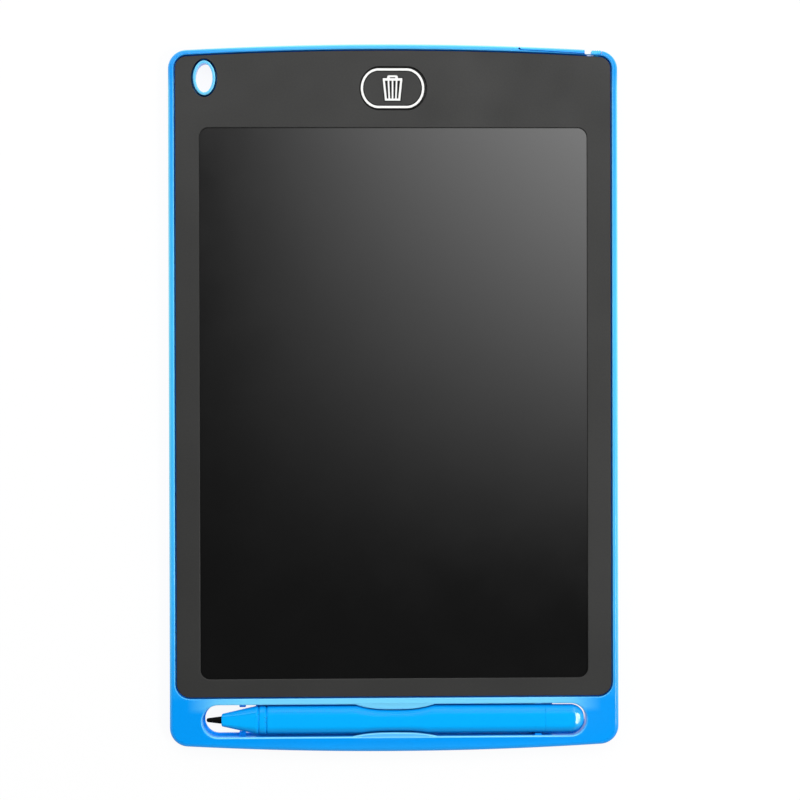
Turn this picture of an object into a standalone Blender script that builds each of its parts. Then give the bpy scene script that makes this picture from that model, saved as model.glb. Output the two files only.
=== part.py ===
"""LCD writing tablet with a clip-in stylus, as the separate pieces that it is assembled from.

The tablet lies on its back. The screen faces +Z, the end with the erase key points to +Y, and the
stylus slot lies across the foot, at -Y. The origin is the middle of the back face. Metres throughout.
"""

import math

import bmesh
import bpy
from mathutils import Matrix, Vector

# Display window, which the case is laid out around
WINDOW_WIDTH = 0.1237
WINDOW_LENGTH = 0.1757
WINDOW_CORNER = 0.0030
WINDOW_CHAMFER = 0.00018

# Borders round the window, and the outline of the case
RIM_WIDTH = 0.00185
HEAD_RIM_TRIM = 0.0002
SIDE_BORDER = 0.0080
FOOT_BORDER = 0.00619
KEY_TO_TOP = 0.00747
KEY_TO_WINDOW = 0.00586
END_BOW = 0.00225
CASE_CORNER = 0.0060
FOOT_CORNER = 0.0048
BACK_ROUND = 0.0016
FRONT_ROUND = 0.0011
RIM_CHAMFER = 0.00025

# Clearances
EDGE_GAP = 0.00045
SEAT_GAP = 0.0001
LAYER_GAP = 0.00005
SLIDE_GAP = 0.0002
OVERRUN = 0.0010

# Heights through the case, from the back face up
FLOOR = 0.0010
RIB_HEIGHT = 0.00155
PLATE_THICKNESS = 0.0009
PANEL_THICKNESS = 0.00025
FILM_THICKNESS = 0.00025
TAPE_THICKNESS = 0.00015
LIP_THICKNESS = 0.00035
FRAME_DROP = 0.0003
FRAME_THICKNESS = 0.0008

# Tray of the rear shell
LEDGE_WIDTH = 0.0012
BAY_STEP = 0.0002
RIB_WIDTH = 0.0010
RIB_COLUMNS = 4
RIB_ROWS = 6
RIB_CELL_CORNER = 0.0012

# Front frame and its snap tabs
FRAME_ROUND = 0.0002
FILM_POCKET_MARGIN = 0.0030
TAB_LENGTH = 0.0060
TAB_THICKNESS = 0.0010
TAB_SINK = 0.0002
TAB_BEAD = 0.0004
TAB_BEAD_HEIGHT = 0.00045
TAB_TIP = 0.00012
SIDE_TAB_SHARES = (-0.36, -0.12, 0.12, 0.36)
TOP_TAB_SHARES = (-0.28, 0.28)
FOOT_TAB_SHARES = (-0.33, 0.0, 0.33)

# Display stack
FILM_MARGIN = 0.0026
TAPE_SETBACK = 0.0012
PANEL_CORNER = 0.0015
PLATE_CORNER = 0.0020
PLATE_TO_TAB = 0.0003
CONTACT_TAB_WIDTH = 0.0060
CONTACT_TAB_LENGTH = 0.0036
RIBBON_OFFSET = 0.0116
RIBBON_WIDTH = 0.0050
RIBBON_THICKNESS = 0.00012
RIBBON_FOOT = 0.0028

# Erase key and its switch
KEY_WIDTH = 0.0209
KEY_LENGTH = 0.01335
KEY_CORNER = 0.0060
KEY_PROUD = 0.00005
KEY_ROUND = 0.0002
KEY_FLANGE = 0.0008
KEY_FLANGE_THICKNESS = 0.0003
KEY_WALL = 0.0010
KEY_TOP_SKIN = 0.00045
KEY_STEM = 0.0030
KEY_STEM_LENGTH = 0.0002
KEY_TRAVEL = 0.00025
SWITCH_WIDTH = 0.0060
SWITCH_HEIGHT = 0.00065
SWITCH_FLOOR = 0.0001
SWITCH_BORE = 0.0024
PLUNGER = 0.0020

# Circuit board and what it carries
BOARD_THICKNESS = 0.0006
BOARD_LEFT = 0.0120
BOARD_GAP = 0.0005
BOARD_FOOT = 0.0078
POST = 0.0040
PEG = 0.0018
PEG_HOLE = 0.0022
PEG_TOP = 0.00045
PEG_INSET = 0.0054
PEG_EDGE = 0.0022
PEG_TO_TAB = 0.0010
CHIP_LENGTH = 0.0050
CHIP_WIDTH = 0.0040
CHIP_HEIGHT = 0.0010
CHIP_OFFSET = 0.0062
LEG_COUNT = 4
LEG_WIDTH = 0.0004
LEG_REACH = 0.0010
LEG_THICKNESS = 0.0003
INDUCTOR = 0.0056
INDUCTOR_HEIGHT = 0.0011
INDUCTOR_WAIST = 0.0005
INDUCTOR_FLANGE = 0.0003
CAPACITOR_LENGTH = 0.0032
CAPACITOR_WIDTH = 0.0018
CAPACITOR_HEIGHT = 0.0009
CAPACITOR_EDGE = 0.00015
COMPONENT_SPACING = 0.0040

# Coin cell, its well, its contacts and its door
CELL = 0.0200
CELL_HEIGHT = 0.0016
CELL_EDGE = 0.00025
WELL_GAP = 0.0003
WELL_WALL = 0.0010
WELL_TO_RIM = 0.0001
PAD_TO_BOARD = 0.0004
WELL_TO_RIBS = 0.0005
WELL_DROP = 0.0001
WELL_OPENING_ANGLE = 0.75
PAD_THICKNESS = 0.0007
PAD_MARGIN = 0.0010
CONTACT_THICKNESS = 0.00015
CONTACT_FOOT = 0.0024
CONTACT_WIDTH = 0.0036
CONTACT_DIMPLE = 0.0008
LEAF_WIDTH = 0.0024
LEAF_SET = 0.0044
DOOR_THICKNESS = 0.00085
DOOR_GAP = 0.00015
DOOR_MARGIN = 0.0014
DOOR_SIDE_MARGIN = 0.00055
DOOR_CORNER = 0.0015
DOOR_LUG_WIDTH = 0.0030
DOOR_LUG_REACH = 0.0010
DOOR_LUG_SPREAD = 0.0060
NAIL_LENGTH = 0.0070
NAIL_WIDTH = 0.0012
NAIL_DEPTH = 0.0004
BOSS = 0.0046
BOSS_HEIGHT = 0.0014
BOSS_TO_WELL = 0.0019
BOSS_TO_DOOR_END = 0.0036
PILOT = 0.0021
SCREW = 0.0018
SCREW_HEAD = 0.0036
SCREW_RECESS = 0.0004
SCREW_RECESS_WIDTH = 0.0005
SCREW_RECESS_LENGTH = 0.0022
SCREW_LENGTH = 0.0023

# Lock switch in the head end of the case
LOCK_SETBACK = 0.00774
NOTCH_LENGTH = 0.0056
NOTCH_DEPTH = 0.00145
NOTCH_CORNER = 0.0004
LOCK_TRAVEL = 0.0020
LOCK_OFFSET = 0.00102
LOCK_STEM_WIDTH = 0.0013
LOCK_STEM_HEIGHT = 0.0008
LOCK_FOOT_WIDTH = 0.0021
LOCK_FOOT_LENGTH = 0.0009
LOCK_THUMB_WIDTH = 0.0031
LOCK_THUMB_HEIGHT = 0.0024
LOCK_THUMB_RIDGE = 0.00025
LOCK_THUMB_RIDGES = 4
HOUSING_LENGTH = 0.0024
HOUSING_WALL = 0.0003
HOUSING_GAP = 0.0004
HOUSING_TOP_GAP = 0.00015

# Lanyard eye in the head corner
EYE_SETBACK = 0.01155
EYE_DROP = 0.01085
EYE_WIDTH = 0.0053
EYE_LENGTH = 0.0092
EYE_WALL = 0.0009
EYE_PROUD = 0.0002
EYE_ROUND = 0.00035
EYE_CHAMFER = 0.0003
EYE_DRAFT = 0.00045

# Stylus slot with its two snap lips, rests and finger windows
SLOT_WIDTH = 0.0102
SLOT_TO_FRAME = 0.00189
SLOT_TO_FOOT = 0.00504
SLOT_END_MARGIN = 0.0104
SLOT_CHAMFER = 0.0004
FINGER_LEFT = 0.0168
FINGER_RIGHT = 0.0106
FINGER_LEDGE = 0.0005
LIP_LENGTH = 0.0268
LIP_REACH = 0.0015
LIP_FADE = 0.0001
LIP_ROOT = 0.0009
LIP_ROOT_DROP = 0.00003
LIP_TIP_DROP = 0.00045
LIP_DEPTH = 0.00105
LIP_FULLNESS = 2.8
NUB_LENGTH = 0.0028
NUB_TIP_LENGTH = 0.0019
NUB_HEIGHT = 0.0022
NUB_LOW = 0.0002
NUB_GAP = 0.00035
NUB_ROOT = 0.0007
LEFT_NUB_SHARE = 0.60
RIGHT_NUB_SETBACK = 0.0154
RIGHT_NUB_REACH = 0.00035
RIGHT_NUB_HEIGHT = 0.0034

# Stylus
PEN_SIDE_GAP = 0.000675
PEN_THICKNESS = 0.0044
PEN_ROUND_SHARE = 0.95
PEN_TIP_GAP = 0.00095
PEN_TAIL_GAP = 0.0007
PEN_LIP_GAP = 0.00025
NIB_LENGTH = 0.0048
NIB_BASE = 0.00225
NIB_POINT = 0.0009
NIB_SHANK = 0.0020
NIB_SHANK_LENGTH = 0.0080
NIB_FIT = 0.0001
NOSE_LENGTH = 0.0112
NOSE_WIDTH = 0.0039
NOSE_THICKNESS = 0.0034
NOSE_ROUND = 0.00035
COLLAR_LENGTH = 0.0034
COLLAR_GROOVE_SET = 0.0009
GROOVE_WIDTH = 0.0007
GROOVE_DEPTH = 0.00022
BARREL_BORE_WIDTH = 0.0046
BARREL_BORE_HEIGHT = 0.0022
SPIGOT_GAP = 0.0001
SPIGOT_LENGTH = 0.0050
CAP_LENGTH = 0.0125
CAP_ROUND = 0.0044
CAP_END_WIDTH_SHARE = 0.12
CAP_END_HEIGHT_SHARE = 0.62

# Facet counts, and the steepest bend in degrees that is shaded smooth
CORNER_STEPS = 6
BOW_STEPS = 16
EDGE_STEPS = 3
ROUND_STEPS = 24
SLOT_STEPS = 12
LIP_STEPS = 14
PEN_STEPS = 4
SMOOTH_ANGLE = 35

# Heights worked out from the stack
PLATE_BOTTOM = FLOOR + RIB_HEIGHT + LAYER_GAP
PANEL_BOTTOM = PLATE_BOTTOM + PLATE_THICKNESS + LAYER_GAP
FILM_BOTTOM = PANEL_BOTTOM + PANEL_THICKNESS + LAYER_GAP
TAPE_BOTTOM = FILM_BOTTOM + FILM_THICKNESS + LAYER_GAP
LIP_BACK = TAPE_BOTTOM + TAPE_THICKNESS + LAYER_GAP
FRAME_FACE = LIP_BACK + LIP_THICKNESS
FRAME_BACK = FRAME_FACE - FRAME_THICKNESS
CASE_THICKNESS = FRAME_FACE + FRAME_DROP
LEDGE_TOP = FRAME_BACK - SEAT_GAP
RIB_TOP = FLOOR + RIB_HEIGHT
KEY_FLANGE_TOP = FRAME_BACK - LAYER_GAP
KEY_BOTTOM = KEY_FLANGE_TOP - KEY_FLANGE_THICKNESS
STEM_BOTTOM = KEY_BOTTOM - KEY_STEM_LENGTH
SWITCH_TOP = STEM_BOTTOM - KEY_TRAVEL - SEAT_GAP
BOARD_TOP = SWITCH_TOP - SWITCH_HEIGHT - LAYER_GAP
BOARD_BOTTOM = BOARD_TOP - BOARD_THICKNESS
DOOR_BOTTOM = SEAT_GAP
DOOR_TOP = DOOR_BOTTOM + DOOR_THICKNESS
PAD_BOTTOM = DOOR_TOP + SEAT_GAP
PAD_TOP = PAD_BOTTOM + PAD_THICKNESS
CELL_BOTTOM = DOOR_TOP + SEAT_GAP
CELL_TOP = CELL_BOTTOM + CELL_HEIGHT

# Places across and along the case
HALF_WIDTH = WINDOW_WIDTH / 2 + SIDE_BORDER + RIM_WIDTH
FOOT_BLOCK = SLOT_TO_FRAME + SLOT_WIDTH + SLOT_TO_FOOT
HEAD_BORDER = KEY_TO_TOP + KEY_LENGTH + KEY_TO_WINDOW
CASE_LENGTH = HEAD_BORDER + WINDOW_LENGTH + FOOT_BORDER + FOOT_BLOCK
HALF_LENGTH = CASE_LENGTH / 2
POCKET_FOOT = FOOT_BLOCK - HALF_LENGTH
WINDOW_Y = HALF_LENGTH - HEAD_BORDER - WINDOW_LENGTH / 2
KEY_Y = HALF_LENGTH - KEY_TO_TOP - KEY_LENGTH / 2
CAVITY_HALF = HALF_WIDTH - RIM_WIDTH - LEDGE_WIDTH
CAVITY_FOOT = POCKET_FOOT + LEDGE_WIDTH
BOW_RADIUS = (HALF_WIDTH ** 2 + END_BOW ** 2) / (2 * END_BOW)
BOW_CENTRE = HALF_LENGTH - BOW_RADIUS
EYE_X = EYE_SETBACK - HALF_WIDTH
EYE_Y = HALF_LENGTH - EYE_DROP
LOCK_X = HALF_WIDTH - LOCK_SETBACK
WELL_RADIUS = CELL / 2 + WELL_GAP
WELL_OUTER = WELL_RADIUS + WELL_WALL
PAD_REACH = WELL_RADIUS + DOOR_MARGIN + DOOR_LUG_REACH + PAD_MARGIN
CELL_X = -BOARD_LEFT - PAD_TO_BOARD - PAD_REACH
BOSS_X = CELL_X - WELL_RADIUS - BOSS_TO_WELL - BOSS / 2
SLOT_Y = SLOT_TO_FOOT + SLOT_WIDTH / 2 - HALF_LENGTH
SLOT_HALF = SLOT_WIDTH / 2
SLOT_REACH = HALF_WIDTH - SLOT_END_MARGIN

# Places along the stylus
PEN_HALF = SLOT_HALF - PEN_SIDE_GAP
PEN_Z = FLOOR + SEAT_GAP + PEN_THICKNESS / 2
TIP_X = PEN_TIP_GAP - SLOT_REACH
NOSE_X = TIP_X + NIB_LENGTH
COLLAR_X = NOSE_X + NOSE_LENGTH
BARREL_X = COLLAR_X + COLLAR_LENGTH
TAIL_X = SLOT_REACH - PEN_TAIL_GAP
CAP_X = TAIL_X - CAP_LENGTH


# Outlines, as lists of points that run anticlockwise

def arc(x, y, radius, start, end, steps):
    """Points along an arc, both of its ends among them."""
    angles = [start + (end - start) * step / steps for step in range(steps + 1)]
    return [(x + radius * math.cos(angle), y + radius * math.sin(angle)) for angle in angles]


def circle(x, y, radius):
    """A full round outline."""
    return ellipse(x, y, radius, radius)


def ellipse(x, y, half_width, half_length):
    """A full oval outline."""
    angles = [2 * math.pi * step / ROUND_STEPS for step in range(ROUND_STEPS)]
    return [(x + half_width * math.cos(angle), y + half_length * math.sin(angle)) for angle in angles]


def rectangle(x, y, width, length):
    """A plain rectangle round its middle."""
    return [
        (x - width / 2, y - length / 2),
        (x + width / 2, y - length / 2),
        (x + width / 2, y + length / 2),
        (x - width / 2, y + length / 2),
    ]


def rounded_rectangle(x, y, width, length, radius, steps=CORNER_STEPS):
    """A rectangle round its middle with rounded corners."""
    quarter = math.pi / 2
    radius = min(radius, width / 2, length / 2)
    across = width / 2 - radius
    along = length / 2 - radius
    corners = ((across, -along, -1), (across, along, 0), (-across, along, 1), (-across, -along, 2))
    points = []
    for dx, dy, turn in corners:
        points += arc(x + dx, y + dy, radius, turn * quarter, (turn + 1) * quarter, steps)
    return without_repeats(points)


def without_repeats(points):
    """The outline with any point that repeats the one before it left out."""
    kept = []
    for point in points:
        if not kept or math.dist(point, kept[-1]) > LAYER_GAP / ROUND_STEPS:
            kept.append(point)
    return kept


def stadium(x, y, reach, half):
    """A slot with round ends, round its middle."""
    quarter = math.pi / 2
    right = arc(x + reach - half, y, half, -quarter, quarter, SLOT_STEPS)
    left = arc(x - reach + half, y, half, quarter, 3 * quarter, SLOT_STEPS)
    return right + left


def half_stadium(round_end, flat_end, y, half):
    """One end of a slot: a round end towards round_end and a straight one at flat_end."""
    side = math.copysign(1, round_end - flat_end)
    start = -side * math.pi / 2
    points = arc(round_end - side * half, y, half, start, start + math.pi, SLOT_STEPS)
    return points + [(flat_end, y + side * half), (flat_end, y - side * half)]


def bow_top(x, inset=0):
    """How far up the bowed head end reaches at a place across the case."""
    return BOW_CENTRE + math.sqrt((BOW_RADIUS - inset) ** 2 - x ** 2)


def tray_top(x, inset=0):
    """How far up the space inside the rim reaches at a place across the case."""
    return bow_top(x, RIM_WIDTH + inset) + HEAD_RIM_TRIM


def head_points(inset):
    """The head end from right to left: a corner, the shallow bow and the other corner."""
    corner_x = HALF_WIDTH - CASE_CORNER
    corner_y = BOW_CENTRE + math.sqrt((BOW_RADIUS - CASE_CORNER) ** 2 - corner_x ** 2)
    meet = math.atan2(corner_y - BOW_CENTRE, corner_x)
    radius = CASE_CORNER - inset
    right = arc(corner_x, corner_y, radius, 0, meet, CORNER_STEPS)
    bow = arc(0, BOW_CENTRE, BOW_RADIUS - inset, meet, math.pi - meet, BOW_STEPS)
    left = arc(-corner_x, corner_y, radius, math.pi - meet, math.pi, CORNER_STEPS)
    return right + bow[1:-1] + left


def case_outline(inset=0):
    """The case, bowed at its head and at its foot."""
    head = head_points(inset)
    foot = [(-x, -y) for x, y in head]
    return head + foot


def tray_outline(inset=0, foot=POCKET_FOOT, corner=FOOT_CORNER):
    """The space inside the rim, which is a little thinner across the head: a straight foot and sides."""
    quarter = math.pi / 2
    side = HALF_WIDTH - RIM_WIDTH - corner
    radius = corner - inset
    left = arc(-side, foot + corner, radius, 2 * quarter, 3 * quarter, CORNER_STEPS)
    right = arc(side, foot + corner, radius, -quarter, 0, CORNER_STEPS)
    head = [(x, y + HEAD_RIM_TRIM) for x, y in head_points(RIM_WIDTH + inset)]
    return head + left + right


def bay_outline(inset, foot, corner):
    """The head end of the tray, down to a straight edge at foot."""
    return tray_outline(inset, foot - inset, corner + inset)


def window_outline(margin=0):
    """The display window, or a rectangle that stands out past it by a margin."""
    width = WINDOW_WIDTH + 2 * margin
    length = WINDOW_LENGTH + 2 * margin
    return rounded_rectangle(0, WINDOW_Y, width, length, WINDOW_CORNER + margin)


def key_outline(grow=0):
    """The erase key seen from the front, grown all round."""
    width = KEY_WIDTH + 2 * grow
    length = KEY_LENGTH + 2 * grow
    return rounded_rectangle(0, KEY_Y, width, length, KEY_CORNER + grow)


def eye_outline(grow=0):
    """The lanyard eye's hole, grown all round."""
    return ellipse(EYE_X, EYE_Y, EYE_WIDTH / 2 + grow, EYE_LENGTH / 2 + grow)


def cell_y():
    """The coin cell lies as near the head end as the wall of its well allows."""
    return tray_top(CELL_X, LEDGE_WIDTH) - WELL_TO_RIM - WELL_OUTER


def bay_foot():
    """Where the electronics bay ends and the ribs under the display begin."""
    return cell_y() - WELL_OUTER - WELL_TO_RIBS


def board_foot():
    """The lower edge of the circuit board, measured from the erase key."""
    return KEY_Y - BOARD_FOOT


def door_outline(grow=0):
    """The battery door: rounded corners and two locating lugs on its right side."""
    right = CELL_X + WELL_RADIUS + DOOR_MARGIN
    left = BOSS_X - BOSS_TO_DOOR_END
    width = right - left + 2 * grow
    length = 2 * (WELL_RADIUS + DOOR_SIDE_MARGIN + grow)
    middle = (left + right) / 2
    body = rounded_rectangle(middle, cell_y(), width, length, DOOR_CORNER + grow)
    steps = CORNER_STEPS + 1
    lugs = []
    for side in (-1, 1):
        low = cell_y() + side * DOOR_LUG_SPREAD - DOOR_LUG_WIDTH / 2 - grow
        high = low + DOOR_LUG_WIDTH + 2 * grow
        out = right + grow + DOOR_LUG_REACH
        lugs += [(right + grow, low), (out, low), (out, high), (right + grow, high)]
    return body[:steps] + lugs + body[steps:]


def rounded_levels(low, high, low_round=0, high_round=0):
    """Heights and insets up the side of a slab whose low and high edges are rounded."""
    levels = [(low, 0)]
    if low_round:
        levels = []
        for step in range(EDGE_STEPS + 1):
            angle = math.pi / 2 * step / EDGE_STEPS
            levels.append((low + low_round * (1 - math.cos(angle)), low_round * (1 - math.sin(angle))))
    if not high_round:
        return levels + [(high, 0)]
    for step in range(EDGE_STEPS + 1):
        angle = math.pi / 2 * step / EDGE_STEPS
        levels.append((high - high_round * (1 - math.sin(angle)), high_round * (1 - math.cos(angle))))
    return levels


# Solids, each added to a mesh in the making

def add_loft(mesh, rings):
    """Skin a row of rings that have as many points each, and close both ends."""
    loops = [[mesh.verts.new(point) for point in ring] for ring in rings]
    faces = [mesh.faces.new(loops[0][::-1]), mesh.faces.new(loops[-1])]
    count = len(loops[0])
    for low, high in zip(loops, loops[1:]):
        for i in range(count):
            j = (i + 1) % count
            faces.append(mesh.faces.new((low[i], low[j], high[j], high[i])))
    return faces


def add_prism(mesh, outline, low, high):
    """An outline extruded from one height to another."""
    base = mesh.faces.new([mesh.verts.new((x, y, low)) for x, y in outline])
    grown = bmesh.ops.extrude_face_region(mesh, geom=[base], use_keep_orig=True)
    top = [item for item in grown["geom"] if isinstance(item, bmesh.types.BMVert)]
    bmesh.ops.translate(mesh, vec=(0, 0, high - low), verts=top)


def add_slab(mesh, outline, levels):
    """A stack of rings of one outline, at the heights and insets in levels."""
    add_loft(mesh, [[(x, y, z) for x, y in outline(inset)] for z, inset in levels])


def add_turned(mesh, x, y, profile):
    """A round piece with an upright axis, from the (radius, height) points of its side."""
    add_loft(mesh, [[(u, v, z) for u, v in circle(x, y, radius)] for radius, z in profile])


def add_box(mesh, x, y, z):
    """A box between two places along each axis."""
    outline = [(x[0], y[0]), (x[1], y[0]), (x[1], y[1]), (x[0], y[1])]
    add_prism(mesh, outline, z[0], z[1])


def add_across(mesh, profile, middle, width):
    """A profile in Y and Z, extruded along X."""
    ends = (middle - width / 2, middle + width / 2)
    add_loft(mesh, [[(x, y, z) for y, z in profile] for x in ends])


def add_along(mesh, profile, middle, width):
    """A profile in X and Z, extruded along Y."""
    ends = (middle + width / 2, middle - width / 2)
    add_loft(mesh, [[(x, y, z) for x, z in profile] for y in ends])


def strip_profile(path, thickness):
    """The two sides of a strip that follows a path, mitred at its bends."""
    sides = ([], [])
    points = [Vector(point) for point in path]
    for i, point in enumerate(points):
        before = (point - points[i - 1]).normalized() if i else None
        after = (points[i + 1] - point).normalized() if i + 1 < len(points) else before
        before = before or after
        lean = (before + after).normalized()
        offset = Vector((-lean.y, lean.x)) * (thickness / 2 / lean.dot(after))
        sides[0].append(tuple(point - offset))
        sides[1].append(tuple(point + offset))
    return sides[0] + sides[1][::-1]


# Objects, materials and the operations between solids

def finish(mesh, name):
    """Turn the faces outward and make an object of a mesh."""
    bmesh.ops.recalc_face_normals(mesh, faces=mesh.faces)
    data = bpy.data.meshes.new(name)
    mesh.to_mesh(data)
    mesh.free()
    piece = bpy.data.objects.new(name, data)
    bpy.context.scene.collection.objects.link(piece)
    return piece


def build(name, material, *steps):
    """An object from the solids that the steps add to its mesh."""
    mesh = bmesh.new()
    for add, *details in steps:
        add(mesh, *details)
    piece = finish(mesh, name)
    piece.data.materials.append(material)
    piece.data.shade_smooth()
    piece.data.set_sharp_from_angle(angle=math.radians(SMOOTH_ANGLE))
    return piece


def operate(piece, operation, label, steps):
    """Cut, join or intersect a piece with a hidden solid."""
    mesh = bmesh.new()
    for add, *details in steps:
        add(mesh, *details)
    tool = finish(mesh, f"{piece.name}_{label}_guide")
    tool.display_type = "WIRE"
    tool.hide_render = True
    change = piece.modifiers.new(label, "BOOLEAN")
    change.operation = operation
    change.solver = "EXACT"
    change.object = tool


def cut(piece, label, *steps):
    """Take solids out of a piece."""
    operate(piece, "DIFFERENCE", label, steps)


def join(piece, label, *steps):
    """Fuse solids onto a piece."""
    operate(piece, "UNION", label, steps)


def carry(name, place, *pieces):
    """Hang the pieces of one moving body on an empty that sits on its joint's axis."""
    axis = bpy.data.objects.new(name, None)
    axis.location = place
    bpy.context.scene.collection.objects.link(axis)
    for piece in pieces:
        piece.data.transform(Matrix.Translation(-Vector(place)))
        piece.parent = axis


def material(name, colour, roughness, metallic=0):
    """A plain finish from an sRGB colour."""
    made = bpy.data.materials.new(name)
    made.use_nodes = True
    shader = made.node_tree.nodes["Principled BSDF"]
    linear = [((value + 0.055) / 1.055) ** 2.4 if value > 0.04045 else value / 12.92 for value in colour]
    shader.inputs["Base Color"].default_value = (*linear, 1)
    shader.inputs["Roughness"].default_value = roughness
    shader.inputs["Metallic"].default_value = metallic
    return made


# Rear shell

def snap_places():
    """Each frame tab: its place on the cavity wall and the way that it faces."""
    length = HALF_LENGTH - CAVITY_FOOT
    places = []
    for share in SIDE_TAB_SHARES:
        for side in (-1, 1):
            y = WINDOW_Y + share * length
            places.append((side * CAVITY_HALF, y, 0 if side > 0 else math.pi))
    for share in TOP_TAB_SHARES:
        x = share * 2 * HALF_WIDTH
        places.append((x, tray_top(x, LEDGE_WIDTH), math.pi / 2))
    for share in FOOT_TAB_SHARES:
        places.append((share * 2 * HALF_WIDTH, CAVITY_FOOT, -math.pi / 2))
    return places


def add_turned_profile(mesh, place, profile, width):
    """A profile of distances out from a wall and heights, extruded along that wall."""
    x, y, angle = place
    rings = []
    for offset in (width / 2, -width / 2):
        along = Vector((-math.sin(angle), math.cos(angle))) * offset
        outward = Vector((math.cos(angle), math.sin(angle)))
        rings.append([(*(Vector((x, y)) + along + outward * out), z) for out, z in profile])
    add_loft(mesh, rings)


def add_snap_groove(mesh, place):
    """The groove in the cavity wall that a tab's bead springs into."""
    low = RIB_TOP + TAB_TIP
    high = low + TAB_BEAD_HEIGHT + 2 * TAB_TIP
    deep = TAB_BEAD + SEAT_GAP
    profile = [(-OVERRUN, low), (deep, low), (deep, high), (-OVERRUN, high)]
    add_turned_profile(mesh, place, profile, TAB_LENGTH + 2 * SLIDE_GAP)


def rib_cells():
    """The pockets between the ribs that carry the display plate."""
    first_x = RIB_WIDTH - CAVITY_HALF
    first_y = CAVITY_FOOT + RIB_WIDTH
    pitch_x = (2 * CAVITY_HALF - RIB_WIDTH) / RIB_COLUMNS
    pitch_y = (bay_foot() - CAVITY_FOOT - RIB_WIDTH) / RIB_ROWS
    cells = []
    for column in range(RIB_COLUMNS):
        for row in range(RIB_ROWS):
            x = first_x + pitch_x * column + (pitch_x - RIB_WIDTH) / 2
            y = first_y + pitch_y * row + (pitch_y - RIB_WIDTH) / 2
            outline = rounded_rectangle(x, y, pitch_x - RIB_WIDTH, pitch_y - RIB_WIDTH, RIB_CELL_CORNER, 2)
            cells.append((add_prism, outline, FLOOR, RIB_TOP + OVERRUN))
    return cells


def peg_places():
    """Where the circuit board is pegged: three along its foot and one at its head."""
    low = board_foot() + PEG_EDGE
    left = PEG_INSET - BOARD_LEFT
    middle = contact_tab_x() + CONTACT_TAB_WIDTH / 2 + PEG_TO_TAB + POST / 2
    right = CAVITY_HALF - BOARD_GAP - PEG_INSET
    high = tray_top(left, LEDGE_WIDTH + BOARD_GAP) - PEG_EDGE
    return [(left, low), (middle, low), (right, low), (left, high)]


def board_pegs():
    """A post under the board with a thinner peg through it, at each place."""
    base = FLOOR - SLIDE_GAP
    seat = BOARD_BOTTOM - LAYER_GAP
    profile = [(POST / 2, base), (POST / 2, seat), (PEG / 2, seat), (PEG / 2, BOARD_TOP + PEG_TOP)]
    return [(add_turned, x, y, profile) for x, y in peg_places()]


def well_ring():
    """The wall round the coin cell, open towards the board where the rim contact reaches in."""
    start = WELL_OPENING_ANGLE
    end = 2 * math.pi - WELL_OPENING_ANGLE
    outer = arc(CELL_X, cell_y(), WELL_OUTER, start, end, ROUND_STEPS)
    inner = arc(CELL_X, cell_y(), WELL_RADIUS, end, start, ROUND_STEPS)
    return (add_prism, outer + inner, PAD_TOP - SLIDE_GAP, CELL_TOP - WELL_DROP)


def battery_bay(shell):
    """Door recess through the floor, the pad that it closes against, the cell's well and the boss."""
    middle = cell_y()
    right = CELL_X + PAD_REACH
    left = BOSS_X - BOSS_TO_DOOR_END - PAD_MARGIN
    length = 2 * (WELL_RADIUS + DOOR_SIDE_MARGIN + PAD_MARGIN)
    pad = rounded_rectangle((left + right) / 2, middle, right - left, length, DOOR_CORNER)
    join(shell, "door_pad", (add_prism, pad, FLOOR - SLIDE_GAP, PAD_TOP))
    boss = [(BOSS / 2, PAD_TOP - SLIDE_GAP), (BOSS / 2, PAD_TOP + BOSS_HEIGHT)]
    join(shell, "cell_well", well_ring(), (add_turned, BOSS_X, middle, boss))
    cut(shell, "door_recess", (add_prism, door_outline(DOOR_GAP), -OVERRUN, PAD_BOTTOM))
    well = [(WELL_RADIUS, DOOR_BOTTOM), (WELL_RADIUS, CELL_TOP + OVERRUN)]
    pilot_top = PAD_TOP + BOSS_HEIGHT - WELL_WALL / 2
    pilot = [(PILOT / 2, DOOR_BOTTOM), (PILOT / 2, pilot_top)]
    cut(shell, "cell_hole", (add_turned, CELL_X, middle, well), (add_turned, BOSS_X, middle, pilot))


def lanyard_eye(shell):
    """An oval column from the floor to the front, with a hole that widens towards the back."""
    top = FRAME_FACE + EYE_PROUD
    levels = rounded_levels(FLOOR - SLIDE_GAP, top, 0, EYE_ROUND)
    join(shell, "eye_column", (add_slab, lambda inset: eye_outline(EYE_WALL - inset), levels))
    hole = [
        (-OVERRUN, EYE_DRAFT + EYE_CHAMFER + OVERRUN),
        (EYE_CHAMFER, EYE_DRAFT),
        (top - EYE_CHAMFER, 0),
        (top + OVERRUN, EYE_CHAMFER + OVERRUN),
    ]
    cut(shell, "eye_hole", (add_slab, eye_outline, hole))


def lip_reach(x):
    """How far the snap lips stand out over the slot at a place along it."""
    share = min(abs(x) / (LIP_LENGTH / 2), 1)
    return (LIP_REACH + LIP_FADE) * (1 - share ** LIP_FULLNESS) - LIP_FADE


def add_lip(mesh, side):
    """A snap lip: its top slopes down from the rail to a thin edge over the stylus."""
    rings = []
    top = CASE_THICKNESS
    for x in waist_places():
        root = SLOT_Y + side * (SLOT_HALF + LIP_ROOT)
        tip = SLOT_Y + side * (SLOT_HALF - lip_reach(x))
        rings.append([
            (x, root, top - LIP_DEPTH),
            (x, tip, top - LIP_DEPTH),
            (x, tip, top - LIP_TIP_DROP),
            (x, root, top - LIP_ROOT_DROP),
        ])
    add_loft(mesh, rings)


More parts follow.
